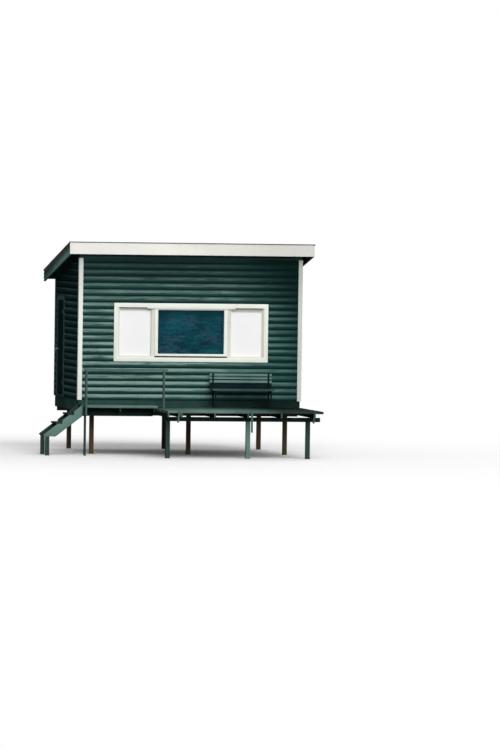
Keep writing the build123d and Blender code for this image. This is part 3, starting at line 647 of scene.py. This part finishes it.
class PaintSettings(bpy.types.PropertyGroup):
    """Colours of the paint."""

    siding: colour_property("Siding", "Paint of the log siding", (0.018, 0.058, 0.051))
    chalk: colour_property("Chalk", "Siding where the paint has gone chalky", (0.182, 0.284, 0.256))
    joint: colour_property("Joint", "Siding in the joints", (0.004, 0.014, 0.012))
    trim: colour_property("Trim", "Green paint of skirts and door trim", (0.023, 0.056, 0.050))
    white: colour_property("White", "White paint of casings and corner boards", (0.76, 0.79, 0.72))
    panel: colour_property("Panels", "White paint of the side panels", (0.82, 0.81, 0.815))
    deck: colour_property("Deck", "Paint of decks, rails and stair", (0.070, 0.128, 0.112))
    deck_worn: colour_property("Worn deck", "Deck paint where it is worn", (0.135, 0.215, 0.190))
    # Painted shade: the timber under the decks takes a near-black colour.
    under: colour_property("Under the decks", "Timber under the deck boards", (0.012, 0.024, 0.022))
    slats: colour_property("Bench slats", "Paint of the bench slats", (0.097, 0.182, 0.167))
    door: colour_property("Door", "Paint of the door", (0.005, 0.016, 0.017))
    roof: colour_property("Roof", "Colour of the roofing felt", (0.050, 0.058, 0.058))


class BoardSettings(bpy.types.PropertyGroup):
    """Sizes of boards and roofing."""

    deck_board: length_property("Deck board", "Width of a deck board with its gap", 0.145)
    deck_gap: length_property("Deck gap", "Gap between deck boards", 0.006)
    edge: length_property("Edge", "Rounding of the boards' edges", 0.003)
    felt_strip: length_property("Felt strip", "Shown width of a strip of roofing felt", 0.86)
    felt_lap: length_property("Felt lap", "Lap of one strip over the next", 0.09)
    screw: length_property("Screw", "Radius of a deck screw's head", 0.0055)


# Operators


class BOATHOUSE_OT_walls(bpy.types.Operator):
    """Paint the log siding and nail it"""

    bl_idname = "boathouse.walls"
    bl_label = "Walls"

    def execute(self, context):
        paint = context.scene.boathouse_paint
        sunny = log_siding("siding_front", (paint.siding, paint.chalk, paint.joint), True)
        # Painted shade: the sides take a cooler copy of the paint and a darker, cooler chalk.
        cool = (0.82, 0.93, 1.02)
        chalk = tinted(paint.chalk, scaled(cool, 0.65))
        shaded = log_siding("siding_sides_shaded", (tinted(paint.siding, cool), chalk, paint.joint), False)
        eased(sunny, 0, "front_wall_left", "front_wall_right")
        eased(sunny, 0, "front_wall_below", "front_wall_above")
        eased(shaded, 0, "left_wall_front", "left_wall_rear", "left_wall_over_door")
        eased(shaded, 0, "right_wall", "rear_wall")
        colours = (0.03, 0.06, 0.05), (0.09, 0.07, 0.05)
        nail = painted_sheet("siding_nails", "siding_green", *colours, rough=0.6)
        radius, height, inset, roof_depth = 0.0045, 0.0016, 0.16, 0.26
        courses, part = 22, 0.24
        out = 4 * BULGE * part * (1 - part) - SUNK
        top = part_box("frieze")[0].z - 0.02
        levels = [SKIRT_TOP + (number + part) * COURSE for number in range(courses)]
        levels = [z for z in levels if z < top]
        low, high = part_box("window_casing")
        points = [
            (x, WALL_FRONT - out, z)
            for z in levels
            for x in spread(WALL_LEFT + inset, WALL_RIGHT - inset, 9)
            if not (low.x - CLEAR < x < high.x + CLEAR and low.z - CLEAR < z < high.z + CLEAR)
        ]
        heads("front_nails", points, FRONT, radius, height, nail)
        low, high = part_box("door_casing")
        spots = [
            (y, z)
            for z in levels
            for y in spread(WALL_FRONT + inset, WALL_REAR - inset, 6)
            if z < ROOF_TOP - roof_depth - ROOF_SLOPE * (y - ROOF[0].y)
        ]
        points = [
            (WALL_LEFT - out, y, z)
            for y, z in spots
            if not (low.y - CLEAR < y < high.y + CLEAR and z < high.z + CLEAR)
        ]
        heads("left_nails", points, LEFT, radius, height, nail)
        points = [(WALL_RIGHT + out, y, z) for y, z in spots]
        heads("right_nails", points, RIGHT, radius, height, nail)
        return {"FINISHED"}


class BOATHOUSE_OT_trim(bpy.types.Operator):
    """Paint the green and white trim boards and the eaves, and nail the front ones"""

    bl_idname = "boathouse.trim"
    bl_label = "Trim"

    def execute(self, context):
        paint = context.scene.boathouse_paint
        edge = context.scene.boathouse_boards.edge
        self.green_trim(paint.trim, edge)
        self.white_trim(paint.white, edge)
        return {"FINISHED"}

    def green_trim(self, green, edge):
        """Paint the green trim, darker where it is sheltered."""
        plain = green, scaled(green, 2.1)
        # A lighter green for the door casing and rear corner boards, partly painted highlight.
        chalky = (0.048, 0.092, 0.086), (0.085, 0.145, 0.136)
        # Painted light: a bright green for the rakes' lit faces.
        painted_light = (0.20, 0.40, 0.365), (0.31, 0.52, 0.475)
        # Painted shade: the frieze and the skirts are darker overall and more towards the right.
        frieze = ((RIGHT, -0.5, 2.5, 0.82, 0.58),)
        skirts = ((RIGHT, 0.1, 2.0, 0.78, 0.27),)
        low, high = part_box("rake_boards")
        foot, crest = low.z + ROOF_SLOPE * high.y, high.z + ROOF_SLOPE * low.y
        # Painted shade: the rakes darken towards the rear, towards their top edge and on the right.
        rakes = (
            (BACK, low.y + 0.6, high.y, 1.0, 0.40),
            ((0, ROOF_SLOPE, 1), foot, crest, 1.0, 0.25),
            (RIGHT, -1.0, 1.0, 1.0, 0.40),
        )
        lying = "fascia_rear", "door_head", "rafter_blocks"
        deep = "skirts_short", "rafters", "door_threshold"
        rows = (
            ("trim_across", *plain, ALONG_X, 0.5, 0.25, (), *lying),
            ("frieze_across", *plain, ALONG_X, 0.5, 0.25, frieze, "frieze"),
            ("skirt_across", *plain, ALONG_X, 0.6, 0.25, skirts, "skirts_long"),
            ("trim_chalky", *chalky, ALONG_Z, 0.5, 0.25, (), "door_casing", "corner_boards_rear"),
            ("trim_upright", *plain, ALONG_Z, 0.5, 0.25, (), "door_jambs", "door_stops"),
            ("trim_sloped", *plain, ALONG_Y, 0.5, 0.25, (), *deep),
            ("rake_green", *painted_light, ALONG_Y, 0.6, 0.3, rakes, "rake_boards"),
        )
        painted_nodes("trim_green", edge, rows)

    def white_trim(self, white, edge):
        """Paint the white trim and nail it."""
        slot = "trim_white"
        dull, cream = (0.62, 0.62, 0.575), (0.62, 0.61, 0.545)
        gloss = {"rough": 0.5, "sheen": 0.2}
        across = painted_wood("white_across", slot, white, dull, ALONG_X, 0.35, 0.14, **gloss)
        creamy = painted_wood("white_frame", slot, cream, dull, ALONG_Z, 0.2, 0.2, **gloss)
        # Painted shade: the front corner boards darken towards the right and towards the top.
        gloss["painted_shade"] = ((RIGHT, 0.0, 2.4, 1.0, 0.70), (UP, 3.0, 4.2, 1.0, 0.72))
        upright = painted_wood("white_upright", slot, white, dull, ALONG_Z, 0.35, 0.16, **gloss)
        # Painted shade: the fascia darkens towards the right.
        gloss["painted_shade"] = ((RIGHT, -0.2, 2.4, 1.0, 0.80),)
        colours = (0.78, 0.77, 0.72), (0.64, 0.63, 0.58)
        fascia = painted_wood("white_fascia", slot, *colours, ALONG_X, 0.35, 0.2, **gloss)
        eased(upright, edge, "corner_boards_front")
        eased(fascia, edge, "fascia_front")
        eased(across, edge, "window_casing")
        eased(creamy, 0.002, "window_frame")
        eased(across, edge, "middle_sash")
        colours = (0.40, 0.36, 0.31), (0.23, 0.16, 0.11)
        rusty = painted_sheet("fascia_nails", slot, *colours, rough=0.7)
        points = front_points("fascia_front", 0.05, 10, 0.05, 2)
        heads("fascia_nails", points, FRONT, 0.006, 0.002, rusty)
        points = front_points("corner_boards_front", 0.045, 2, 0.07, 7)
        points += front_points("window_casing", 0.045, 9, 0.04, 2)
        points += front_points("window_casing", 0.04, 2, 0.3, 3)
        # The trim nails take the corner boards' paint with its painted shade.
        heads("trim_nails", points, FRONT, 0.004, 0.0015, upright)


class BOATHOUSE_OT_window(bpy.types.Operator):
    """Glaze the window, paint its side panels and add their beads"""

    bl_idname = "boathouse.window"
    bl_label = "Window"

    def execute(self, context):
        colours = context.scene.boathouse_paint.panel, (0.78, 0.765, 0.765)
        panel = painted_wood("panel_white", "panel_white", *colours, ALONG_Z, 0.3, 0.05, 0.5)
        eased(panel, 0.002, "side_panels")
        white = bpy.data.materials["white_across"]
        self.sash(white)
        self.side_lights(white)
        return {"FINISHED"}

    def sash(self, white):
        """Glaze the middle sash, bead it and add a painted shadow line under it."""
        low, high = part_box("middle_sash")
        stile, foot_rail, top_rail = 0.066, 0.052, 0.014
        x0, x1, z0, z1 = low.x + stile, high.x - stile, low.z + foot_rail, high.z - top_rail
        # Glass colours: the dark tint, a painted pale reflection and a painted blue reflection.
        colours = ((0.002, 0.010, 0.020), (0.006, 0.076, 0.098), (0.030, 0.045, 0.084))
        dress(frame["nodes"]["window_glass"], window_pane("window_glass", colours, x0, x1, z1))
        bead, side, set_back, thick = 0.010, 0.004, 0.008, 0.030
        front = low.y + set_back
        back = front + thick
        boxes = [
            ((x0, front, z0), (x1, back, z0 + bead)),
            ((x0, front, z1 - bead), (x1, back, z1)),
            ((x0, front, z0 + bead), (x0 + side, back, z1 - bead)),
            ((x1 - side, front, z0 + bead), (x1, back, z1 - bead)),
        ]
        blocks("sash_beads", boxes, white, "house", 0.001)
        # Painted shadow: a near-black strip under the sash.
        colours = (0.014, 0.015, 0.013), (0.03, 0.03, 0.027)
        joint = painted_wood("sash_shadow_line", "trim_white", *colours, ALONG_X)
        foot = (low.x, low.y - 0.001, low.z - 0.022), (high.x, low.y + 0.02, low.z + 0.016)
        blocks("sash_shadow_line", [foot], joint, "house", 0.001)

    def side_lights(self, white):
        """Bead the two side panels and set an uneven grey strip over each, as painted shadow."""
        low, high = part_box("side_panels")
        light, bead, proud = 0.682, 0.018, 0.006
        lights = (low.x, low.x + light), (high.x - light, high.x)
        boxes = []
        for x0, x1 in lights:
            for x in (x0, x1 - bead):
                boxes.append(((x, low.y - proud, low.z), (x + bead, low.y, high.z)))
            boxes.append(((x0 + bead, low.y - proud, low.z), (x1 - bead, low.y, low.z + bead)))
        blocks("panel_beads", boxes, white, "house", 0.002)
        # Painted shadow: grey strips under the window head, deeper on the right.
        colours = (0.50, 0.51, 0.47), (0.56, 0.56, 0.52)
        rail = painted_wood("panel_shadow_rail", "trim_white", *colours, ALONG_X)
        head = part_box("window_frame")[1].z - 0.001
        boxes = [
            ((x0, low.y - 0.004, high.z - drop), (x1, low.y + 0.016, head))
            for (x0, x1), drop in zip(lights, (0.014, 0.034))
        ]
        blocks("panel_shadow_rails", boxes, rail, "house", 0.001)


class BOATHOUSE_OT_door(bpy.types.Operator):
    """Build the boarded door, and finish its hinges and knob"""

    bl_idname = "boathouse.door"
    bl_label = "Door"

    def execute(self, context):
        colours = context.scene.boathouse_paint.door, (0.014, 0.034, 0.032)
        green = painted_wood("door_green", "door_green", *colours, ALONG_Z, rough=0.5)
        low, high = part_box("door_leaf")
        count = 5
        step = (high.y - low.y) / count
        face = 0.024
        middle = (low.z + high.z) / 2
        values = {
            "First": (low.x + face / 2, low.y + step / 2, middle),
            "Step": (0.0, step, 0.0),
            "Count": count,
            "Length": high.z - low.z,
            "Width": step,
            "Thickness": face,
            "Edge": 0.004,
            "Turn": (0.0, math.pi / 2, 0.0),
            "Seed": 3,
            "Material": green,
        }
        boards = row_of_boards("door_boards", "door", values)
        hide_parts("door_leaf")
        ledge, end, side, bite = 0.14, 0.16, 0.012, 0.001
        boxes = [
            ((low.x + face - bite, low.y + side, z), (high.x, high.y - side, z + ledge))
            for z in (low.z + end, middle - ledge / 2, high.z - end - ledge)
        ]
        blocks("door_ledges", boxes, green, "door", 0.003)
        colours = (0.055, 0.065, 0.065), (0.12, 0.10, 0.085)
        metal = painted_sheet("hinge_metal", "hinge_metal", *colours, 0.6, 0.5)
        dress(frame["nodes"]["jamb_hinges"], metal)
        dress(frame["nodes"]["door_hinges"], metal)
        colours = (0.16, 0.15, 0.13), (0.10, 0.085, 0.065)
        knob = painted_sheet("knob_metal", "knob_metal", *colours, 0.9, 0.4)
        dress(frame["nodes"]["door_knob"], knob)
        return {"FINISHED"}


class BOATHOUSE_OT_decks(bpy.types.Operator):
    """Lay the deck and walkway boards, paint the timber under them and drive the screws"""

    bl_idname = "boathouse.decks"
    bl_label = "Decks"

    def execute(self, context):
        paint = context.scene.boathouse_paint
        sizes = context.scene.boathouse_boards
        colours = (0.07, 0.085, 0.08), (0.14, 0.10, 0.07)
        screw = painted_sheet("deck_screws", "deck_green", *colours, 0.5, 0.5)
        points = self.lay(paint, sizes, "deck_boards", "deck_joists")
        points += self.lay(paint, sizes, "walkway_boards", "walkway_joists")
        heads("deck_screws", points, UP, sizes.screw, 0.0016, screw)
        self.timber(paint, sizes.edge)
        return {"FINISHED"}

    def lay(self, paint, sizes, node, joists):
        """Lay the boards of one deck, and give the places of the screws."""
        low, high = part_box(node)
        depth = high.y - low.y
        count = round((depth + sizes.deck_gap) / sizes.deck_board)
        pitch = (depth + sizes.deck_gap) / count
        width = pitch - sizes.deck_gap
        # Painted shade: the deck boards darken towards the right end and towards the wall.
        right = (RIGHT, 1.0, 1.95, 1.0, 0.21)
        rear = (BACK, low.y + 0.15 * depth, low.y + 0.85 * depth, 1.0, 0.30)
        own = {"board": (ALONG_Y, low.y - sizes.deck_gap / 2, pitch), "painted_shade": (right, rear)}
        colours = paint.deck, paint.deck_worn
        name = node + "_paint"
        timber = painted_wood(name, "deck_green", *colours, ALONG_X, 0.95, 0.3, 0.66, **own)
        values = {
            "First": ((low.x + high.x) / 2, low.y + width / 2, (low.z + high.z) / 2),
            "Step": (0.0, pitch, 0.0),
            "Count": count,
            "Length": high.x - low.x,
            "Width": width,
            "Thickness": high.z - low.z,
            "Edge": sizes.edge,
            "Play": 0.003,
            "Seed": 7,
            "Material": timber,
        }
        boards = row_of_boards(node + "_laid", "house", values)
        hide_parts(node)
        end = 0.02
        points = []
        for left, right in pairs(joists, ALONG_X):
            x = min(max((left + right) / 2, low.x + end), high.x - end)
            for number in range(count):
                y = low.y + number * pitch
                points += [(x, y + width * share, high.z) for share in (0.24, 0.76)]
        return points

    def timber(self, paint, edge):
        """Paint the decks' timber, the handrail and the stair, darkened by painted shade in places.
        """
        green, worn = paint.deck, paint.deck_worn
        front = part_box("deck_joists")[0].y
        # Painted shade: the joists darken behind their front ends and towards the right.
        joists = ((BACK, front + 0.004, front + 0.012, 0.85, 0.2), (RIGHT, 0.0, 1.4, 1.0, 0.7))
        # Painted shade: the rail stubs darken towards the right.
        stubs = ((RIGHT, 1.4, 2.2, 1.0, 0.55),)
        low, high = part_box("stair_stringers")
        # Painted shade: the far stringer is darker than the near one.
        stringers = ((BACK, low.y + 0.06, high.y - 0.06, 1.0, 0.24),)
        # Painted shade: the posts and legs darken left and right of the middle post.
        posts = ((RIGHT, -0.15, 1.3, 0.25, 1.0), (RIGHT, 1.6, 2.4, 1.0, 0.25))
        beams = "deck_ledger", "deck_beam", "walkway_beam", "walkway_joists"
        legs = "deck_posts", "walkway_post", "stair_legs"
        # Painted shade: the stair treads and header take a darkened copy of the paint.
        painted_tread_shade = scaled(green, 0.22), scaled(green, 0.7)
        # Painted light: the stringers take a brighter copy of the paint.
        sunny, pale = scaled(green, 1.45), scaled(green, 1.7)
        rows = (
            # The beams, ledger and walkway joists take the near-black colour of painted shade.
            ("deck_under", paint.under, paint.trim, ALONG_X, 0.4, 0.35, (), *beams),
            ("deck_joist", green, worn, ALONG_Y, 0.3, 0.35, joists, "deck_joists"),
            ("rail_stub", green, worn, ALONG_Z, 0.15, 0.35, stubs, "rail_stubs"),
            ("deck_across", scaled(green, 0.85), worn, ALONG_X, 0.25, 0.35, (), "handrail"),
            ("deck_stair", sunny, worn, ALONG_X, 0.35, 0.35, stringers, "stair_stringers"),
            ("deck_deep", *painted_tread_shade, ALONG_Y, 0.5, 0.35, (), "stair_treads", "stair_header"),
            ("deck_upright", pale, worn, ALONG_Z, 0.6, 0.35, posts, *legs),
            ("rail_upright", scaled(green, 0.68), worn, ALONG_Z, 0.35, 0.3, (), "handrail_posts"),
        )
        painted_nodes("deck_green", edge, rows)


class BOATHOUSE_OT_bench(bpy.types.Operator):
    """Paint the bench and bolt its slats to its bars"""

    bl_idname = "boathouse.bench"
    bl_label = "Bench"

    def execute(self, context):
        colours = context.scene.boathouse_paint.slats, (0.17, 0.26, 0.24)
        slat = painted_wood("bench_slats", "bench_green", *colours, ALONG_X, 0.6, 0.25, 0.55)
        # Painted shade: the seat is painted much darker than the slats of the back.
        colours = (0.030, 0.062, 0.060), (0.075, 0.125, 0.120)
        seat = painted_wood("bench_seat", "bench_green", *colours, ALONG_X, 0.6, 0.3, 0.55)
        # Painted shade: near-black on the panel between the back and the seat; the frames share it.
        colours = (0.004, 0.011, 0.012), (0.012, 0.024, 0.024)
        dark = painted_wood("bench_dark", "bench_dark", *colours, ALONG_Z, 0.5, 0.3, 0.5)
        edge = 0.003
        eased(slat, edge, "bench_slats")
        eased(seat, edge, "bench_seat")
        eased(dark, edge, "bench_panel", "bench_frames")
        colours = (0.05, 0.055, 0.055), (0.11, 0.09, 0.07)
        bolt = painted_sheet("bench_bolts", "bench_dark", *colours, 0.6, 0.5)
        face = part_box("bench_slats")[1].y
        points = [
            ((left + right) / 2, face, (low + high) / 2)
            for left, right in pairs("bench_frames", ALONG_X)
            for low, high in pairs("bench_slats", ALONG_Z)
        ]
        heads("bench_bolts", points, BACK, 0.008, 0.005, bolt)
        return {"FINISHED"}


class BOATHOUSE_OT_base(bpy.types.Operator):
    """Finish the floor, its joists, the sill beams, the foundation posts and the roof boards"""

    bl_idname = "boathouse.base"
    bl_label = "Floor and foundation"

    def execute(self, context):
        edge = context.scene.boathouse_boards.edge
        eased(bare_boards("floor_boards", ALONG_X, 1.0, (ALONG_Y, ROOM[0].y, 0.12)), 0, "floor")
        eased(bare_boards("aged_deep", ALONG_Y, 0.42), edge, "floor_joists")
        # Painted shade: the sill beams and foundation posts under the house are darkened.
        eased(bare_boards("aged_and_shaded_across", ALONG_X, 0.30), edge, "sill_beams")
        eased(bare_boards("aged_and_shaded_upright", ALONG_Z, 0.30), edge, "foundation_posts")
        roof = bare_boards("aged_roof_boards", ALONG_X, 0.07, (ALONG_Y, CAD_BOX[0][1], 0.14))
        eased(roof, edge, "roof_boards")
        return {"FINISHED"}


class BOATHOUSE_OT_roof(bpy.types.Operator):
    """Lay the roofing felt in lapped strips and nail the laps"""

    bl_idname = "boathouse.roof"
    bl_label = "Roof"

    def execute(self, context):
        sizes = context.scene.boathouse_boards
        felt = roofing_felt("roof_felt", context.scene.boathouse_paint.roof)
        eased(felt, 0.002, "roofing")
        low, high = ROOF
        angle = math.atan(ROOF_SLOPE)
        run = (high.y - low.y) / math.cos(angle)
        count = round(run / sizes.felt_strip)
        shown = run / count
        width = shown + sizes.felt_lap
        thick, back_from_edge, play = 0.003, 0.002, 0.004
        down = Vector((0.0, math.cos(angle), -math.sin(angle)))
        out = Vector((0.0, math.sin(angle), math.cos(angle)))
        ridge = Vector(((low.x + high.x) / 2, low.y, high.z))
        values = {
            "Count": count - 1,
            "Step": tuple(-shown * down),
            "Length": high.x - low.x - play,
            "Thickness": thick,
            "Edge": 0.001,
            "Play": 0.0015,
            "Turn": (thick / width - angle, 0.0, 0.0),
            "Seed": 5,
            "Material": felt,
        }
        first = ridge + down * (run - width / 2 - back_from_edge) + out * thick
        row_of_boards("roof_strips", "house", {**values, "First": tuple(first), "Width": width})
        last = ridge + down * (shown / 2) + out * thick
        top = {"First": tuple(last), "Width": shown - play, "Count": 1}
        row_of_boards("roof_strip_top", "house", {**values, **top})
        colours = (0.10, 0.11, 0.11), (0.17, 0.13, 0.10)
        nail = painted_sheet("roof_nails", "roof_sheet", *colours, 0.5, 0.45)
        from_lap, from_side = 0.03, 0.06
        across = spread(low.x + from_side, high.x - from_side, 34)
        points = []
        for number in range(1, count):
            along = run - number * shown + sizes.felt_lap / 2 - from_lap
            spot = ridge + down * along + out * (2.2 * thick)
            points += [(x, spot.y, spot.z) for x in across]
        heads("roof_nails", points, tuple(out), 0.006, 0.002, nail)
        return {"FINISHED"}


class BOATHOUSE_OT_stage(bpy.types.Operator):
    """Set the floor, the light and the camera"""

    bl_idname = "boathouse.stage"
    bl_label = "Stage"

    def execute(self, context):
        scene = context.scene
        scene.view_settings.view_transform = "Standard"
        self.floor()
        self.world(scene)
        self.lamp("key", 3.32, 56, (0.12, -0.87, 0.62))
        self.lamp("rear_fill", 0.8, 60, (0.55, 0.70, 0.75))
        self.camera(scene)
        return {"FINISHED"}

    def floor(self):
        """Lay a floor that fades into the background and takes a soft shadow."""
        made = bmesh.new()
        bmesh.ops.create_grid(made, x_segments=8, y_segments=8, size=400.0)
        floor = add_object("stage_floor", finished_mesh(made, "floor"))
        floor.location.z = -0.001
        graph = Surface("stage_floor", "stage")
        paths = graph.add("ShaderNodeLightPath").socket.node
        camera_ray = Signal(graph, paths.outputs["Is Camera Ray"])
        grey = graph.mix(camera_ray, (0.12, 0.12, 0.12), (0.86, 0.86, 0.86))
        graph.coat(grey, 0.9)
        glow = graph.add("ShaderNodeEmission", {"Color": (1.0, 1.0, 1.0), "Strength": 1.0})
        x, y, z = graph.axes()
        far = graph.rise(graph.math("SQRT", x * x + y * y), 5.0, 13.0)
        plain = Signal(graph, graph.shader.outputs[0])
        mixed = graph.add("ShaderNodeMixShader", {0: far * self.seen(graph), 1: plain, 2: glow})
        graph.feed(graph.tree.nodes["Material Output"].inputs["Surface"], mixed)
        dress(floor, graph.material)

    def world(self, scene):
        """Make the world pale, and less so for the light that it casts."""
        world = scene.world or bpy.data.worlds.new("World")
        scene.world = world
        world.use_nodes = True
        graph = Graph(world.node_tree)
        background = world.node_tree.nodes["Background"]
        graph.feed(background.inputs["Color"], (1.0, 1.0, 1.0))
        graph.feed(background.inputs["Strength"], self.seen(graph) * 0.7 + 0.3)

    def seen(self, graph):
        """1 for rays that meet the background straight, off a shiny face or through glass."""
        path = graph.add("ShaderNodeLightPath").socket.node
        kinds = ("Is Camera Ray", "Is Glossy Ray", "Is Transmission Ray")
        straight, mirrored, through = (Signal(graph, path.outputs[kind]) for kind in kinds)
        return graph.math("MAXIMUM", graph.math("MAXIMUM", straight, mirrored), through)

    def lamp(self, name, strength, softness, toward):
        """Add a broad lamp that shines from a direction."""
        light = bpy.data.lights.new(name, "SUN")
        light.energy = strength
        light.angle = math.radians(softness)
        add_object(name, light).rotation_euler = Vector(toward).to_track_quat("Z", "Y").to_euler()

    def camera(self, scene):
        """Put the camera where the photograph was taken from."""
        yaw, pitch, roll = 0.19328, -0.02774, 0.01372
        ahead, up = math.cos(pitch), math.sin(pitch)
        forward = Vector((math.sin(yaw) * ahead, math.cos(yaw) * ahead, up))
        level = Vector((math.cos(yaw), -math.sin(yaw), 0.0))
        upward = level.cross(forward)
        right = math.cos(roll) * level + math.sin(roll) * upward
        top = math.cos(roll) * upward - math.sin(roll) * level
        turn = Matrix((right, top, -forward)).transposed()
        focal_pixels, picture_height, sensor = 6785.94, 750.0, 36.0
        data = bpy.data.cameras.new("camera")
        data.sensor_fit = "VERTICAL"
        data.sensor_height = sensor
        data.lens = sensor * focal_pixels / picture_height
        data.clip_start = 1.0
        data.clip_end = 1000.0
        camera = add_object("camera", data)
        camera.matrix_world = Matrix.Translation((-25.93258, -141.09472, 5.66668)) @ turn.to_4x4()
        scene.camera = camera


OPERATORS = (
    BOATHOUSE_OT_walls,
    BOATHOUSE_OT_trim,
    BOATHOUSE_OT_window,
    BOATHOUSE_OT_door,
    BOATHOUSE_OT_decks,
    BOATHOUSE_OT_bench,
    BOATHOUSE_OT_base,
    BOATHOUSE_OT_roof,
    BOATHOUSE_OT_stage,
)


class BOATHOUSE_PT_panel(bpy.types.Panel):
    """The settings and steps of the boathouse"""

    bl_label = "Boathouse"
    bl_idname = "BOATHOUSE_PT_panel"
    bl_space_type = "VIEW_3D"
    bl_region_type = "UI"
    bl_category = "Boathouse"

    def draw(self, context):
        for settings in (context.scene.boathouse_paint, context.scene.boathouse_boards):
            column = self.layout.column()
            for name in settings.__annotations__:
                column.prop(settings, name)
        for operator in OPERATORS:
            self.layout.operator(operator.bl_idname)


CLASSES = (PaintSettings, BoardSettings, *OPERATORS, BOATHOUSE_PT_panel)


def register():
    """Register the classes and their settings."""
    for item in CLASSES:
        bpy.utils.register_class(item)
    bpy.types.Scene.boathouse_paint = bpy.props.PointerProperty(type=PaintSettings)
    bpy.types.Scene.boathouse_boards = bpy.props.PointerProperty(type=BoardSettings)


def unregister():
    """Take the settings and the classes away."""
    del bpy.types.Scene.boathouse_boards
    del bpy.types.Scene.boathouse_paint
    for item in reversed(CLASSES):
        bpy.utils.unregister_class(item)


def main():
    """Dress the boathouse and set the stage."""
    register()
    steps = bpy.ops.boathouse
    steps.walls()
    steps.trim()
    steps.window()
    steps.door()
    steps.decks()
    steps.bench()
    steps.base()
    steps.roof()
    steps.stage()


if __name__ == "__main__":
    main()
